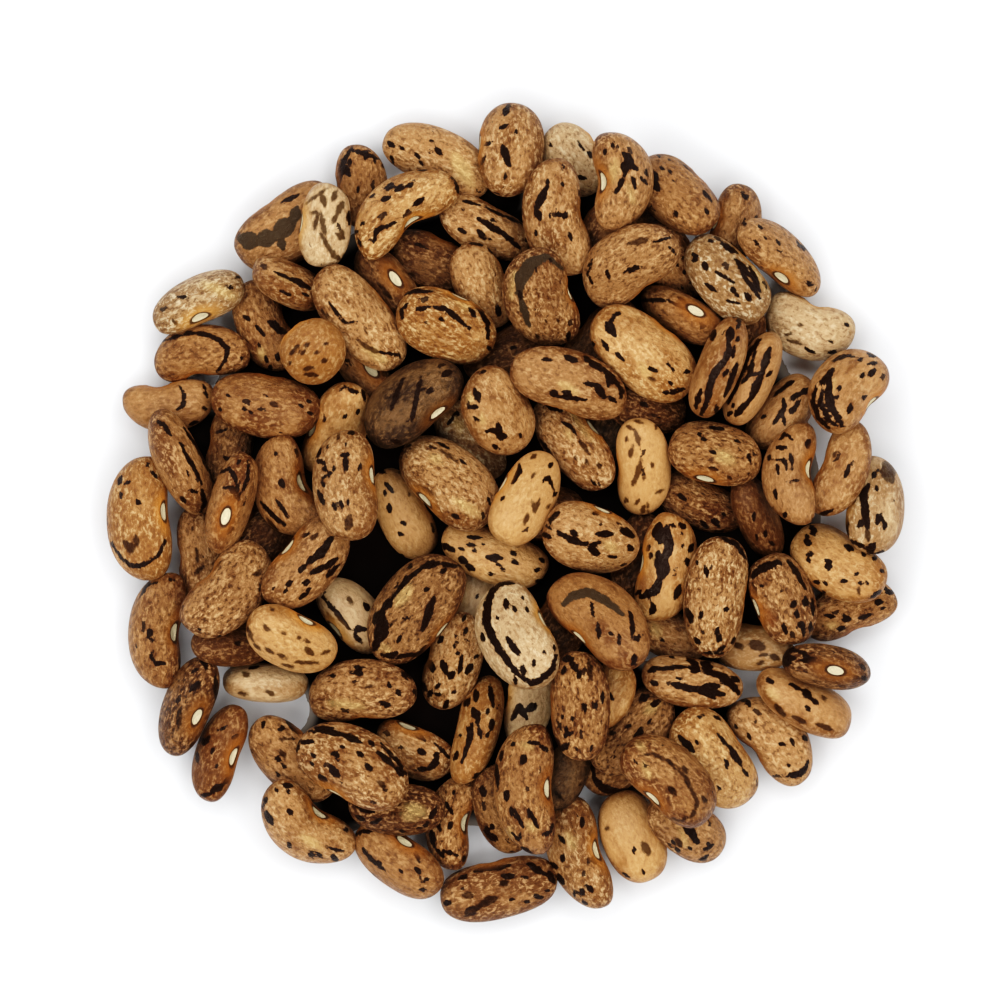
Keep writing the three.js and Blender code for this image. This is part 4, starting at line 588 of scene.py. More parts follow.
        (0.6, -0.6, 4.8, -0.2, 4.2), (0.7, 0.7, 4.8, 1.6, 3.5, 2.8, 1.3), (0.6, 3.6, 0, 3.8, -2),
        (0.8, 2.8, 0.2, 2.8, -0.8), (-2.9, 1.6, -2.4, 1.6), (0.9, 1.1, -1, 1.6, -0.3),
        (0.8, 1.7, -1.8), (0.8, 0.2, -3.5), (0.6, 0.4, -4), (0.9, 2.4, -3.3), (0.6, 2.6, -4.2),
        (1.8, -3.5, 2.4, -2.8), (-3.7, 2, -3.3, 0.3), (3.6, -2.9, 3.3, -4.3)],
      tawny=[(1.2, -2.7, -0.8, -1.1, -3.2)]),
    B(39.9, -19.3, 11.5, 7.2, -11, 80, 0.1, BROWN, light=-0.3, specks=0.6, mottle=1,
      black=[(-3.8, 2.1, -2.2, 1.4), (-3, 1.4, -1.2, 0.6), (0.6, -3.3, 0.9, -2.1, 0.7),
        (-1.1, 0.7, 1, 0), (0.9, -5, 2.5, -3.8, 2), (1.5, -5.7, 1.1, -4.3, 1.1),
        (1, -5.6, 0.4, -4.6, 0.6), (0.6, -1.8, 1), (0.6, 1.3, -0.4, 2, -1), (1.3, -0.3, 1.7, -1.1),
        (0.6, 3.8, -1.3), (0.6, 4.7, -1.4)]),
    B(-18.8, -31.6, 15.3, 9.0, 153, 0, 0.2, HONEY, light=-0.2, specks=0.45, mottle=0.8,
      black=[(1, -4.6, 4.7, -1.5, 4), (0.8, -1.4, 4, 1, 3), (0.8, 2.2, 2.9), (0.6, -1.3, 2.3),
        (0.8, 0.9, 1.5), (0.7, -2.9, 1.5, -2.1, 1.5, -1.8, 0.8), (1.2, -2.3, -0.7), (0.8, -2.6, -0.2),
        (1, 2, -0.1), (0.9, -3.8, -1.5), (0.8, 3, 1.9, 4.1, 0.9, 4.9, 0.2),
        (0.9, 5.4, -0.1, 6.1, -1.1), (0.4, 3.4, 2.9, 5.7, 0.5, 6.6, -1.1), (0.6, -6.8, 3, -4.8, 3),
        (-6.9, 2.7, -7, 1.8), (0.6, -4.9, 1.4), (-5.1, 0.3), (0.4, -5.6, 4.3, -4.6, 4.2)],
      sepia=[(0.9, 3.5, -2.2)]),
    B(2.9, -34.5, 16.5, 8.3, -87, 42, 0.6, RUST, specks=0.6, mottle=0.8,
      black=[(0.6, -2.1, 5.6, -1.6, 5.9), (-0.1, 5.9, 1.4, 5.8), (0.6, 1.4, 5.6, 2.4, 4.8),
        (1, -0.6, 3.8), (0.6, -3.5, 3.7, -3.2, 4.8), (-4, 3.1, -3.7, -0.1), (1, -2.7, -0.7),
        (0.6, -1.7, -2.4, -1, -3.9, -0.6, -4.6), (0.6, -0.1, -2.2, 0.4, -3.2, 1.2, -4.6), (3, -4.4),
        (1.5, -5.6, 2.9, -5.1), (-1, -5.6), (0.4, -2, -5.3, -1.1, -6.3), (0.8, -1, -7.3, 0.3, -7.8),
        (0.6, -2.2, -2.2, -2, -3.1), (-2.7, -6.3, -2, -6.9)],
      cream=[(0.6, -2.3, -5.3), (1, 0, -4.2, 0.8, -4.7), (0.8, -0.6, 5.6, 0.4, 5.4)]),
    B(20.3, -33.3, 13.6, 8.8, 138, 40, 0.3, RUST, hilum=0.2,
      black=[(-4.1, 2.3)],
      sepia=[
        (-3.7, 3.1, -2, 3.4, 0, 2.4, 1.7, 0.8, 2.8, -1.1, 3.5, -2.7, 2.9, -4.3, 1.2, -4.9, 0.3, -4.6),
        (0.8, -0.1, -0.6, 0.7, -1.7), (0.8, 2, 1.3), (0.8, 4.3, -2.3)],
      cream=[(0.6, -3.5, 4.2), (-3.2, 2.1, -2.5, 0.6)]),
]

# ------------------------------------------------------------------ how the beans come to rest


def lean(bean, along):
    """How far a bean curves to its belly at places from -1 to 1 along it: its ends towards the
    belly and its middle away from it, so that as a whole it stays where it is."""
    return HOLLOW * bean["bend"] * bean["width"] * (along * along - 1 / 3)


def balls_of(bean):
    """The balls that stand for a bean while it comes to rest: two at each station."""
    centres, radii = [], []
    for along in STATIONS:
        girth = math.sqrt(1 - abs(along) ** (2 / BLUNT)) ** BLUNT
        radius = girth * THICKNESS * bean["width"] / 2
        apart = girth * bean["width"] / 2 - radius
        for side in (-apart, apart):
            centres.append((along * bean["length"] / 2, side + lean(bean, along), 0.0))
            radii.append(radius)
    return np.array(centres), np.array(radii)


def turning(heading, pitch, roll):
    """Heading, then pitch (the front end up), then roll (the belly up), as a 3x3 matrix."""
    h, p, r = (math.radians(a) for a in (heading, pitch, roll))
    about_z = np.array([[math.cos(h), -math.sin(h), 0], [math.sin(h), math.cos(h), 0], [0, 0, 1]])
    about_y = np.array([[math.cos(p), 0, -math.sin(p)], [0, 1, 0], [math.sin(p), 0, math.cos(p)]])
    about_x = np.array([[1, 0, 0], [0, math.cos(r), -math.sin(r)], [0, math.sin(r), math.cos(r)]])
    return about_z @ about_y @ about_x


def resting_height(bean, centres, radii, below, below_radii):
    """The height at which the turned bean stops on the surface or on the beans below it."""
    height = max(0.0, float((radii - centres[:, 2]).max()))
    if len(below):
        reach = radii[:, None] + below_radii[None, :] - SINK
        dx = bean["x"] + centres[:, 0, None] - below[None, :, 0]
        dy = bean["y"] + centres[:, 1, None] - below[None, :, 1]
        rise = reach * reach - dx * dx - dy * dy
        lift = below[None, :, 2] + np.sqrt(np.maximum(rise, 0)) - centres[:, 2, None]
        height = max(height, float(np.where(rise > 0, lift, 0).max()))
    return height


def come_to_rest(bean, placed):
    """Puts a bean down on those already there, turned a little so that it lies low."""
    centres, radii = balls_of(bean)
    near = [
        other for other in placed
        if math.hypot(other["x"] - bean["x"], other["y"] - bean["y"])
        < (other["length"] + bean["length"]) / 2
    ]
    below = np.concatenate([other["balls"] for other in near]) if near else np.zeros((0, 3))
    below_radii = np.concatenate([other["radii"] for other in near]) if near else np.zeros(0)
    best = (math.inf, 0.0, bean["roll"], 0.0)
    for step in TURN_STEPS:
        start = best
        for i in range(-TURN_REACH, TURN_REACH + 1):
            for j in range(-TURN_REACH, TURN_REACH + 1):
                pitch = start[1] + i * step
                roll = start[2] + j * step * ROLL_SHARE
                turned = centres @ turning(bean["heading"], pitch, roll).T
                height = resting_height(bean, turned, radii, below, below_radii)
                cost = height + TURN_COST * (pitch**2 + (roll - bean["roll"]) ** 2)
                if cost < best[0] - BETTER:
                    best = (cost, pitch, roll, height)
    _, pitch, roll, height = best
    turn = turning(bean["heading"], pitch, roll)
    balls = centres @ turn.T + np.array([bean["x"], bean["y"], height])
    return dict(bean, z=height, turn=turn, balls=balls, radii=radii)


def hidden_beans():
    """The beans under the others, on a spiral that spreads them evenly."""
    for k in range(HIDDEN["count"]):
        radius = HIDDEN["spacing"] * math.sqrt(k + 0.5)
        angle = math.radians(GOLDEN_ANGLE * k)
        x, y = radius * math.cos(angle), radius * math.sin(angle)
        bare = any(math.hypot(x - cx, y - cy) < r + HIDDEN["width"] / 2 for cx, cy, r in CLEARINGS)
        if radius < HIDDEN_REACH and not bare:
            yield B(x, y, HIDDEN["length"], HIDDEN["width"], HIDDEN["turn"] * k, 0, HIDDEN["bend"],
                    BROWN, light=HIDDEN_SHADE)


def heap():
    """All beans where they lie. Of the hidden ones, only those that reach the surface stay."""
    placed = []
    for bean in LOWER_BEANS:
        placed.append(come_to_rest(bean, placed))
    for bean in hidden_beans():
        resting = come_to_rest(bean, placed)
        if resting["z"] < ON_SURFACE:
            placed.append(resting)
    for bean in UPPER_BEANS:
        placed.append(come_to_rest(bean, placed))
    return placed


# ------------------------------------------------------------------ the mesh of one bean

GRID = (36, 20, 16)  # squares along the length, width and thickness of the box a bean comes from
TAPER = 0.05  # how much one end of a bean is fuller than the other
DENTS = 0.012  # depth of its unevenness, as a share of its radius
DENT_WAVES = 5
DENT_PITCH = 2.2  # radians of a wave over the radius of a bean
HILUM = (1.15, 0.55)  # half length and half width of the eye
HILUM_DEPTH = 0.2
HILUM_PIT = (0.9, 4)  # how far the pit of the eye reaches, where 1 is its edge, and its steepness
HILUM_LIP = 0.08  # height of the lip round the eye
LIP_AT = 1.35  # where the lip is highest
LIP_WIDTH = 0.35
NOTCH = 1.5  # depth of the hollow round the eye of a fully bent bean
NOTCH_LENGTH = 0.17  # half its length, as a share of the bean's
LOWEST = 0.02  # how far above the surface the lowest points of a bean are
FAR = 9.0  # farther than any mark reaches
STROKE_TIP = 0.45  # width of a streak at its ends, as a share of its width
SPOT_STRETCH = 1.25  # how much longer a spot is along the bean, and narrower across it
SPOT_SKEW = 0.45  # how far its sides lean
SPOT_CORNERS = 3  # exponent of a spot's outline: 2 is an ellipse, and more has sharper corners
LIGHT_SPREAD = 0.12  # how far a bean can be paler or deeper by chance
COAT_SPREAD = 200  # how far apart the coats of the beans are cut from the patterns


def box_ball(counts):
    """Directions and squares of a box with that many squares along x, y and z, blown up to a
    ball."""
    index, points, squares = {}, [], []

    def point(key):
        if key not in index:
            index[key] = len(points)
            points.append(key)
        return index[key]

    for axis in range(3):
        first, second = (axis + 1) % 3, (axis + 2) % 3
        for side in (0, counts[axis]):
            for i in range(counts[first]):
                for j in range(counts[second]):
                    corners = [(i, j), (i + 1, j), (i + 1, j + 1), (i, j + 1)]
                    if side == 0:
                        corners.reverse()
                    square = []
                    for a, b in corners:
                        key = [0, 0, 0]
                        key[axis], key[first], key[second] = side, a, b
                        square.append(point(tuple(key)))
                    squares.append(square)
    box = np.array(points, float) / np.array(counts) * 2 - 1
    ball = np.tan(box * math.pi / 4)
    return ball / np.linalg.norm(ball, axis=1, keepdims=True), np.array(squares)


BALL, SQUARES = box_ball(GRID)


def power(value, exponent):
    return np.sign(value) * np.abs(value) ** exponent


def bean_form(bean, rng):
    """The skin of a bean in its own frame, and how far each point is from its eye, where 1 is the
    edge of the eye. x is the length, +y the belly and z the thickness."""
    along = power(BALL[:, 0], BLUNT)
    girth = np.hypot(BALL[:, 1], BALL[:, 2])
    fill = np.maximum(girth, TINY) ** (BLUNT - 1)
    uneven = np.ones(len(BALL))
    for _ in range(DENT_WAVES):
        wave = rng.normal(size=3) * DENT_PITCH
        uneven += DENTS * np.sin(BALL @ wave + rng.uniform(0, 2 * math.pi))
    taper = 1 + TAPER * rng.uniform(-1, 1) * along
    y = BALL[:, 1] * fill * taper * uneven * bean["width"] / 2
    z = BALL[:, 2] * fill * taper * uneven * THICKNESS * bean["width"] / 2
    x = along * uneven * bean["length"] / 2
    at_eye = np.hypot((x - bean["hilum"]) / HILUM[0], z / HILUM[1])
    at_eye = np.where(y > 0, at_eye, FAR)
    hollow = np.exp(-(((x - bean["hilum"]) / (NOTCH_LENGTH * bean["length"])) ** 2))
    y = y + lean(bean, along)
    y -= NOTCH * bean["bend"] * hollow * np.maximum(BALL[:, 1], 0) ** 2
    y -= HILUM_DEPTH * np.exp(-((at_eye / HILUM_PIT[0]) ** HILUM_PIT[1]))
    y += HILUM_LIP * np.exp(-(((at_eye - LIP_AT) / LIP_WIDTH) ** 2))
    return np.stack([x, y, z], axis=1), at_eye


def inside_spot(points, width, place, heading):
    """How far each point is inside (below 0) or outside a spot, which is drawn out along the
    bean and has blunt corners."""
    turn = math.radians(heading)
    along = (points - place) @ np.array([math.cos(turn), math.sin(turn)])
    across = (points - place) @ np.array([-math.sin(turn), math.cos(turn)])
    reach = (np.abs(along + SPOT_SKEW * across) / SPOT_STRETCH) ** SPOT_CORNERS
    reach += (np.abs(across) * SPOT_STRETCH) ** SPOT_CORNERS
    return reach ** (1 / SPOT_CORNERS) - width / 2


def inside_stroke(points, width, path):
    """How far each point is inside (below 0) or outside a streak, which thins to its ends."""
    nearest, where = np.full(len(points), FAR), np.zeros(len(points))
    for k in range(len(path) - 1):
        step = path[k + 1] - path[k]
        t = np.clip((points - path[k]) @ step / max(step @ step, TINY), 0, 1)
        gap = np.linalg.norm(points - path[k] - t[:, None] * step, axis=1)
        where = np.where(gap < nearest, (k + t) / (len(path) - 1), where)
        nearest = np.minimum(nearest, gap)
    return nearest - width / 2 * (STROKE_TIP + (1 - STROKE_TIP) * np.sin(math.pi * where))


def inside_mark(points, mark, heading):
    """How far each point is inside (below 0) or outside a mark, as B describes marks."""
    width, places = (mark[0], mark[1:]) if len(mark) % 2 else (USUAL_MARK, mark)
    path = np.array(places).reshape(-1, 2)
    if len(path) == 1:
        return inside_spot(points, width, path[0], heading)
    return inside_stroke(points, width, path)


def bean_mesh(bean, number):
    """The points of a bean in the shared frame, where each is in the coat's patterns, and what
    else the coat reads there."""
    rng = np.random.default_rng(SEED + number)
    form, at_eye = bean_form(bean, rng)
    turned = form @ bean["turn"].T
    values = {ink: np.full(len(form), FAR) for ink in INKS}
    for ink, marks in bean["marks"].items():
        for mark in marks:
            inside = inside_mark(turned[:, :2], mark, bean["heading"])
            values[ink] = np.minimum(values[ink], inside)
    points = turned + np.array([bean["x"], bean["y"], bean["z"]])
    points[:, 2] = np.maximum(points[:, 2], LOWEST)
    ones = np.ones(len(points))
    values["eye"] = np.minimum(at_eye, FAR)
    # rim is 1 at the edge of a bean, where its coat gets a painted shade
    values["rim"] = 1 - np.abs(BALL[:, 2])
    # light: the bean's own tone, with painted shade on beans low in the heap
    values["light"] = ones * (bean["light"] + rng.uniform(-LIGHT_SPREAD, LIGHT_SPREAD))
    values["specks"] = ones * bean["specks"]
    values["mottle"] = ones * bean["mottle"]
    coat_at = form + rng.uniform(-COAT_SPREAD, COAT_SPREAD, size=3)
    return points, coat_at, values


# ------------------------------------------------------------------ materials


def linear(rgb):
    """An sRGB colour, 0 to 255, as the linear one that Blender takes."""
    shares = [c / 255 for c in rgb]
    return tuple(c / 12.92 if c <= 0.04045 else ((c + 0.055) / 1.055) ** 2.4 for c in shares)


class Shader:
    """Short names for the nodes that the materials are made of."""

    def __init__(self, name, specular, roughness=None):
        self.material = bpy.data.materials.new(name)
        self.material.use_nodes = True
        self.tree = self.material.node_tree
        self.skin = self.tree.nodes["Principled BSDF"]
        self.skin.inputs["Specular IOR Level"].default_value = specular
        if roughness is not None:
            self.skin.inputs["Roughness"].default_value = roughness

    def node(self, kind, inputs=(), **settings):
        made = self.tree.nodes.new(kind)
        for key, value in settings.items():
            setattr(made, key, value)
        for key, value in dict(inputs).items():
            self.feed(made.inputs[key], value)
        return made

    def feed(self, socket, value):
        if isinstance(value, bpy.types.NodeSocket):
            self.tree.links.new(value, socket)
        elif isinstance(value, tuple) and len(value) == 3 and socket.type == "RGBA":
            socket.default_value = (*value, 1)
        else:
            socket.default_value = value

    def math(self, operation, a, b=0.0, c=0.0):
        made = self.node("ShaderNodeMath", {0: a, 1: b, 2: c}, operation=operation)
        return made.outputs[0]

    def times(self, a, b):
        return self.math("MULTIPLY", a, b)

    def scaled(self, value, share, least):
        return self.math("MULTIPLY_ADD", value, share, least)

    def step(self, value, low, high, to_low=0.0, to_high=1.0):
        """Runs smoothly from to_low to to_high as value goes from low to high."""
        inputs = {"Value": value, "From Min": low, "From Max": high, "To Min": to_low,
                  "To Max": to_high}
        return self.node("ShaderNodeMapRange", inputs, interpolation_type="SMOOTHSTEP").outputs[0]

    def mix(self, share, a, b, blend="MIX"):
        """From colour a to colour b. These take the sockets 6 and 7 of the node, and give 2."""
        made = self.node("ShaderNodeMix", data_type="RGBA", blend_type=blend)
        self.feed(made.inputs["Factor"], share)
        self.feed(made.inputs[6], a)
        self.feed(made.inputs[7], b)
        return made.outputs[2]

    def attribute(self, name, output="Fac"):
        return self.node("ShaderNodeAttribute", attribute_name=name).outputs[output]

    def vector(self, operation, a, b):
        return self.node("ShaderNodeVectorMath", {0: a, 1: b}, operation=operation).outputs[0]

    def noise(self, vector, scale, detail, roughness=0.5, distortion=0.0, output="Fac"):
        inputs = {"Vector": vector, "Scale": scale, "Detail": detail, "Roughness": roughness,
                  "Distortion": distortion}
        return self.node("ShaderNodeTexNoise", inputs).outputs[output]

    def bump(self, height, distance, strength):
        inputs = {"Height": height, "Distance": distance, "Strength": strength}
        return self.node("ShaderNodeBump", inputs).outputs["Normal"]


# Scales that draw the patterns out along the bean, which is x.
ALONG = (0.6, 1, 1)
ALONG_WRINKLES = (0.85, 1.3, 1.3)

# Noise: scale, detail, roughness, distortion.
CLOUDS = (0.35, 3, 0.6)
WRINKLES = (1.65, 4, 0.65, 0.35)
PATCHES = (0.4, 2, 0.5)
RAGGED = (1.8, 3, 0.6)
SPECK_WARP = (1.2, 2)
WEAR = (0.9, 3, 0.6)
# Next: the mottling in the core's painted shade.
CORE_SHADE_MOTTLE = (300, 4, 0.6)

# Smooth steps: the two values between which they rise or fall, then what they give there, which
# is 0 and 1 where it is left out.
GROUND_STEP = (0.34, 0.66)
# Painted shade: the ground deepens towards the edge of each bean.
EDGE_SHADE_STEP = (0.35, 1.0, -0.06, 0.16)
PATCH_STEP = (0.36, 0.62, 0.45, 1.0)
# Painted highlight on the crests of the wrinkles, and painted shade in their creases.
CREST_HIGHLIGHT_STEP = (0.5, 0.62)
CREASE_SHADE_STEP = (0.47, 0.36)
SPECK_STEP = (0.0, 0.04)
HALO_STEP = (3.6, 1.4)
EYE_RIM_STEP = (1.5, 1.15)
EYE_STEP = (1.02, 0.9)
ROUGHNESS_STEP = (0.35, 0.65, 0.3, 0.45)
CORE_RISE = (0.0, 0.9)

# A share and what is added to it.
MOTTLE_RANGE = (0.85, 0.15)
RAGGED_RANGE = (0.7, -0.39)
GLOW_RANGE = (0.45, 0.35)
SPECK_RANGE = (0.16, 0.07)

LIGHT_TILT = -0.6  # how far a bean's light moves its ground from deep to pale
SPECK_CELLS = 0.62
RELIEF = (0.0007, 0.9)  # depth in metres, and strength
COAT_SPECULAR = 0.2

# How strongly each layer of the coat covers what is under it.
# The crease and crest layers are partly mottling, and partly painted shade and highlight.
CREASE_SHADE_COVER = 0.8
CREST_HIGHLIGHT_COVER = 0.75
TAWNY_COVER = 0.7
SPECK_COVER = 0.9
HALO_COVER = 0.7
EYE_RIM_COVER = 0.9

# Softness of the edges of marks.
TAWNY_EDGE = 0.4
CREAM_EDGE = 0.6
SEPIA_EDGE = 0.14
UMBER_EDGE = 0.1
BLACK_EDGE = 0.07

INK_BLACK = linear((32, 15, 7))
INK_UMBER = linear((64, 50, 35))
INK_SEPIA = linear((118, 106, 90))  # darkens the ground under it
# Painted highlight: the colour of the cream marks.
HIGHLIGHT_CREAM = linear((214, 180, 118))
INK_TAWNY = linear((112, 62, 26))
EYE_WHITE = linear((214, 200, 164))
EYE_RIM = linear((58, 34, 20))
HALO_TINT = (1.1, 0.82, 0.4)  # times the pale ground, for the halo round the eye


def coat_material(kind):
    s = Shader(kind["name"], COAT_SPECULAR)
    at = s.attribute("coat_at", "Vector")
    along = s.vector("MULTIPLY", at, ALONG)

    # The ground runs between a pale and a deep shade in soft clouds, and is deepest round the edge of
    # the bean: painted shade, for the edges that turn from the light and lie against other beans.
    tilt = s.scaled(s.attribute("light"), LIGHT_TILT, s.noise(along, *CLOUDS))
    tilt = s.math("ADD", tilt, s.step(s.attribute("rim"), *EDGE_SHADE_STEP))
    ground = s.mix(s.step(tilt, *GROUND_STEP), linear(kind["light"]), linear(kind["deep"]))

    # Wrinkles, drawn out along the bean: pale crests, partly the coat's own pale mottling and partly
    # painted highlight, and deep creases, partly its dark mottling and partly painted shade.
    mottle = s.scaled(s.attribute("mottle"), *MOTTLE_RANGE)
    grain = s.noise(s.vector("MULTIPLY", at, ALONG_WRINKLES), *WRINKLES)
    patches = s.step(s.noise(along, *PATCHES), *PATCH_STEP)
    crest_highlight = s.times(s.times(s.step(grain, *CREST_HIGHLIGHT_STEP), mottle), patches)
    crease_shade = s.times(s.step(grain, *CREASE_SHADE_STEP), mottle)
    colour = s.mix(s.times(crease_shade, CREASE_SHADE_COVER), ground, linear(kind["mottle"]))
    colour = s.mix(s.times(crest_highlight, CREST_HIGHLIGHT_COVER), colour, linear(kind["pale_highlight"]))

    # Drawn marks, with ragged edges.
    ragged = s.scaled(s.noise(along, *RAGGED), *RAGGED_RANGE)

    def mark(ink, edge):
        return s.step(s.math("ADD", s.attribute(ink), ragged), edge, -edge)

    colour = s.mix(s.times(mark("tawny", TAWNY_EDGE), TAWNY_COVER), colour, INK_TAWNY)
    # Cream marks: painted highlights, grained like the crests.
    glow = s.scaled(crest_highlight, *GLOW_RANGE)
    colour = s.mix(s.times(mark("cream", CREAM_EDGE), glow), colour, HIGHLIGHT_CREAM)
    shaded = s.mix(1.0, colour, INK_SEPIA, blend="MULTIPLY")
    colour = s.mix(mark("sepia", SEPIA_EDGE), colour, shaded)
    colour = s.mix(mark("umber", UMBER_EDGE), colour, INK_UMBER)

    # Specks: small angular dashes, as many as the bean asks for.
    moved = s.vector("ADD", along, s.noise(at, *SPECK_WARP, output="Color"))
    cells = s.node("ShaderNodeTexVoronoi", {"Vector": moved, "Scale": SPECK_CELLS},
                   distance="CHEBYCHEV")
    pick = s.node("ShaderNodeSeparateColor", {0: cells.outputs["Color"]})
    size = s.scaled(pick.outputs["Green"], *SPECK_RANGE)
    inside = s.math("SUBTRACT", size, cells.outputs["Distance"])
    chosen = s.math("LESS_THAN", pick.outputs["Red"], s.attribute("specks"))
    speck = s.times(s.step(inside, *SPECK_STEP), chosen)
    ink = s.math("MAXIMUM", mark("black", BLACK_EDGE), s.times(speck, SPECK_COVER))
    colour = s.mix(ink, colour, INK_BLACK)

    # The eye: a white oval with a dark rim, in a warmer halo.
    eye = s.attribute("eye")
    halo = tuple(a * b for a, b in zip(linear(kind["light"]), HALO_TINT))
    colour = s.mix(s.times(s.step(eye, *HALO_STEP), HALO_COVER), colour, halo)
    colour = s.mix(s.times(s.step(eye, *EYE_RIM_STEP), EYE_RIM_COVER), colour, EYE_RIM)
    colour = s.mix(s.step(eye, *EYE_STEP), colour, EYE_WHITE)

    s.feed(s.skin.inputs["Base Color"], colour)
    s.feed(s.skin.inputs["Roughness"], s.step(s.noise(at, *WEAR), *ROUGHNESS_STEP))
    s.feed(s.skin.inputs["Normal"], s.bump(s.times(grain, mottle), *RELIEF))
    return s.material


# Painted shade for the gaps between the beans, and a paler grey where it fades out, a painted shadow.
CORE_BLACK = linear((8, 5, 4))
CORE_BROWN = linear((22, 13, 9))
CORE_PALE = linear((150, 142, 134))


def core_material():
    """Painted shade: nearly black between the beans, and fading to a pale grey, a painted shadow,
    where it thins out.
    """
    s = Shader("shade_core", specular=0.05, roughness=0.9)
    shade_mottle = s.noise(s.node("ShaderNodeTexCoord").outputs["Object"], *CORE_SHADE_MOTTLE)
    dark = s.mix(shade_mottle, CORE_BLACK, CORE_BROWN)
    colour = s.mix(s.step(s.attribute("height"), *CORE_RISE), CORE_PALE, dark)
    s.feed(s.skin.inputs["Base Color"], colour)
    return s.material


def floor_material():
    s = Shader("floor", specular=0.1, roughness=0.9)
    s.feed(s.skin.inputs["Base Color"], FLOOR_COLOUR)
    return s.material


# ------------------------------------------------------------------ the pieces


def new_object(name, points, faces, material):
    mesh = bpy.data.meshes.new(name)
    mesh.from_pydata(points, [], faces)
    mesh.update()
    mesh.polygons.foreach_set("use_smooth", np.ones(len(mesh.polygons), bool))
    mesh.materials.append(material)
    made = bpy.data.objects.new(name, mesh)
    bpy.context.collection.objects.link(made)
    return made


def store(piece, name, values, kind="FLOAT", field="value"):
    """Keeps what a material reads at each point of a piece."""
    piece.data.attributes.new(name, kind, "POINT").data.foreach_set(field, values)


def kind_piece(kind, beans):
    """All beans of one coat as one mesh."""
    parts = [bean_mesh(bean, number) for number, bean in beans]
    points = np.concatenate([p for p, _, _ in parts]) * MM
    faces = np.concatenate([SQUARES + k * len(BALL) for k in range(len(parts))])
    piece = new_object(kind["name"], points.tolist(), faces.tolist(), coat_material(kind))
    coat_at = np.concatenate([c for _, c, _ in parts]).ravel()
    store(piece, "coat_at", coat_at, "FLOAT_VECTOR", "vector")
    for name in parts[0][2]:
        store(piece, name, np.concatenate([v[name] for _, _, v in parts]))
    return piece


CORE_RADIUS = 39.5
CORE_FLATNESS = 8  # exponent: how far its top stays level before it falls to its edge
CORE_REACH = 46  # past the ends of its spurs
CORE_HEIGHT = 2.4
CORE_STEP = 0.5  # between its points
CORE_FOOT = -0.1  # where its edge ends, just under the surface
CORE_SLOPE = 0.6  # how steeply it rises from its holes and spurs

# Holes in the core, where the surface shows: x, y, radius.
CORE_HOLES = ((-28, -24.8, 3.6), (30.2, -21.2, 3), (11.4, -35.2, 2.4), (18.2, -18, 1))

# Places past its edge where the core goes on under the beans, to darken the gaps there with
# its painted shade: x, y, radius.
CORE_SPURS = ((-1.3, 39.2, 4.5), (10.4, 38.2, 4.5), (-24, 30.7, 5), (-37.8, 8.9, 4.5),
              (-20.2, -36.2, 4))


def core_piece():
    """A dark low mound under the beans, which slopes down to nothing at its edge and holes. Its
    dark colour is painted shade for the gaps between the beans.
    """
    reach = math.ceil(CORE_REACH / CORE_STEP)
    ticks = np.arange(-reach, reach + 1) * CORE_STEP
    x, y = np.meshgrid(ticks, ticks, indexing="ij")
    height = CORE_HEIGHT * (1 - (np.hypot(x, y) / CORE_RADIUS) ** CORE_FLATNESS)
    for cx, cy, radius in CORE_SPURS:
        spur = CORE_SLOPE * (radius - np.hypot(x - cx, y - cy))
        height = np.maximum(height, np.minimum(spur, CORE_HEIGHT))
    for cx, cy, radius in CORE_HOLES:
        height = np.minimum(height, CORE_SLOPE * (np.hypot(x - cx, y - cy) - radius))
    height = np.maximum(height, CORE_FOOT)
    count = len(ticks)
    points = np.stack([x, y, height], axis=-1).reshape(-1, 3)
    faces = []
    for i in range(count - 1):
        for j in range(count - 1):
            square = (i * count + j, (i + 1) * count + j, (i + 1) * count + j + 1, i * count + j + 1)
            if any(points[corner, 2] > CORE_FOOT for corner in square):
                faces.append(square)
    used = sorted({corner for face in faces for corner in face})
    place = {corner: k for k, corner in enumerate(used)}
    faces = [tuple(place[corner] for corner in face) for face in faces]
    core = new_object("shade_core", (points[used] * MM).tolist(), faces, core_material())
    store(core, "height", points[used, 2])
    return core


beans = list(enumerate(heap()))
pieces = [kind_piece(kind, [(n, b) for n, b in beans if b["coat"] is kind]) for kind in COATS]
pieces.append(core_piece())
for piece in pieces:
    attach(piece, "root")
    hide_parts("bean_heap")

# ------------------------------------------------------------------ floor, light and camera

FLOOR_SIZE = 3.0
FLOOR_COLOUR = (0.815, 0.83, 0.855)

half = FLOOR_SIZE / 2
corners = [(-half, -half, 0), (half, -half, 0), (half, half, 0), (-half, half, 0)]
floor = new_object("floor", corners, [(0, 1, 2, 3)], floor_material())


def area_light(name, place, size, power_w, colour, glint=False):
    """A square lamp that shines at the middle of the floor. A glint shows in sheen alone, and
    the other lamps don't show in it."""
    lamp = bpy.data.lights.new(name, "AREA")
    lamp.shape = "SQUARE"
    lamp.size = size
    lamp.energy = power_w
    lamp.color = colour
    made = bpy.data.objects.new(name, lamp)
    made.visible_glossy = glint
    made.visible_diffuse = not glint
    made.location = place
    bpy.context.collection.objects.link(made)
    aim = made.constraints.new("TRACK_TO")
    aim.target = floor
    aim.track_axis, aim.up_axis = "TRACK_NEGATIVE_Z", "UP_Y"


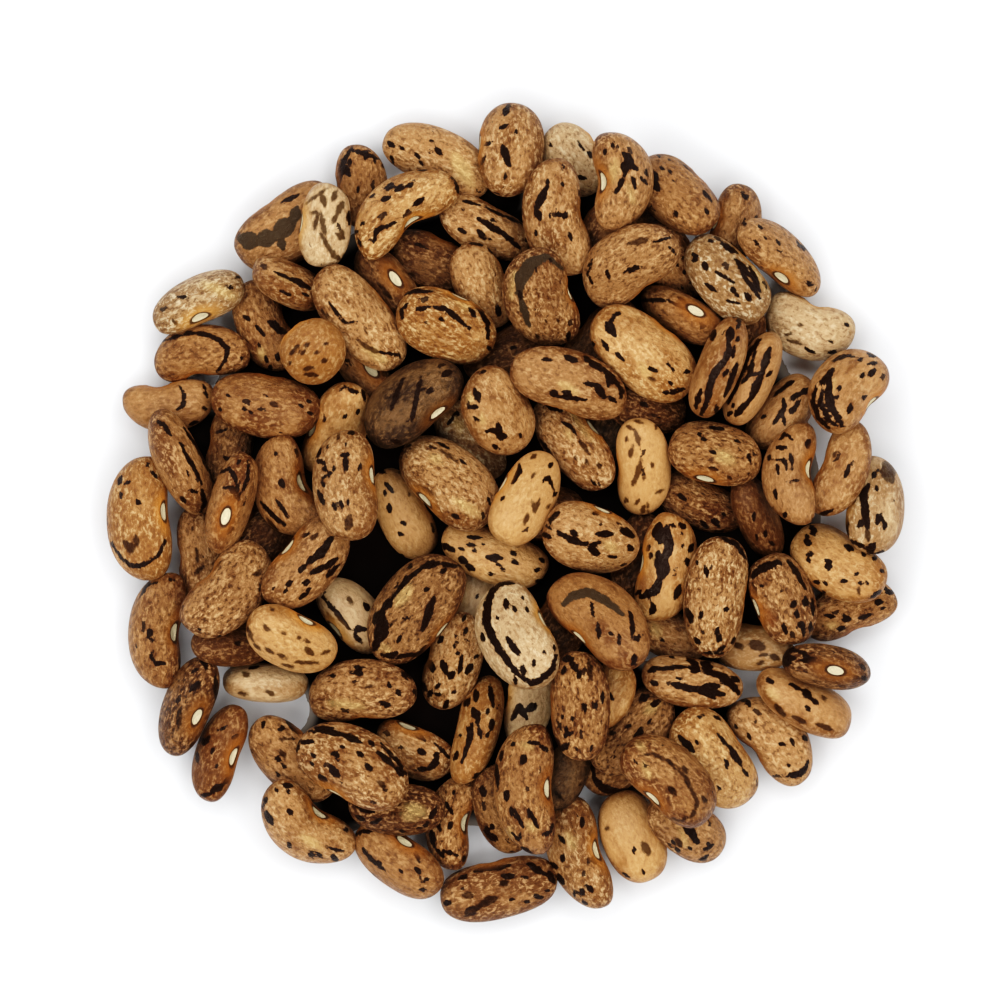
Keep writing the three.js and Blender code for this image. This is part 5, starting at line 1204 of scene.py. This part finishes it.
# A ring of softboxes half way up leaves the gaps between the beans dark. Those at the lower left
# are a little stronger.
SOFTBOXES = 6
SOFTBOX_SIZE = 0.8
SOFTBOX_COLOUR = (1, 0.995, 0.985)
RING_RADIUS = 0.8
RING_HEIGHT = 0.9
RING_POWER = 5.3
RING_LEAN = 0.06  # how much stronger or weaker
STRONGEST = math.radians(240)  # place on the ring, from +X towards +Y

for k in range(SOFTBOXES):
    angle = STRONGEST + 2 * math.pi * k / SOFTBOXES
    place = (RING_RADIUS * math.cos(angle), RING_RADIUS * math.sin(angle), RING_HEIGHT)
    share = 1 + RING_LEAN * math.cos(angle - STRONGEST)
    area_light(f"softbox_{k}", place, SOFTBOX_SIZE, RING_POWER * share, SOFTBOX_COLOUR)

GLINT_AT = (-0.12, 0.2, 1.0)
GLINT_SIZE = 0.14
GLINT_POWER = 7
GLINT_COLOUR = (1, 0.88, 0.74)

area_light("glint", GLINT_AT, GLINT_SIZE, GLINT_POWER, GLINT_COLOUR, glint=True)

SKY_COLOUR = (0.95, 0.97, 1.0, 1)
SKY_STRENGTH = 0.05

world = bpy.data.worlds.new("studio")
world.use_nodes = True
sky = world.node_tree.nodes["Background"]
sky.inputs["Color"].default_value = SKY_COLOUR
sky.inputs["Strength"].default_value = SKY_STRENGTH
scene = bpy.context.scene
scene.world = world

# The photo shows 125 mm of the surface across, from straight above. The lens is long, so that
# the beans on top keep their places.
SEEN_WIDTH = 0.125
CAMERA_HEIGHT = 1.2
CAMERA_AT = (-0.0006, 0.0014)
SENSOR_MM = 36.0
CLIP_END = 10

lens = bpy.data.cameras.new("camera")
lens.sensor_width = SENSOR_MM
lens.lens = SENSOR_MM * CAMERA_HEIGHT / SEEN_WIDTH
lens.clip_end = CLIP_END
camera = bpy.data.objects.new("camera", lens)
camera.location = (*CAMERA_AT, CAMERA_HEIGHT)
bpy.context.collection.objects.link(camera)
scene.camera = camera

# Deep darks and clear lights: a curve over linear light, through these places.
ALL_CHANNELS = 3
TONES = ((0.03, 0.0165), (0.07, 0.0595), (0.2, 0.245), (0.42, 0.53), (0.7, 0.785))

view = scene.view_settings
view.view_transform = "Standard"
view.use_curve_mapping = True
for x, y in TONES:
    view.curve_mapping.curves[ALL_CHANNELS].points.new(x, y)
view.curve_mapping.update()
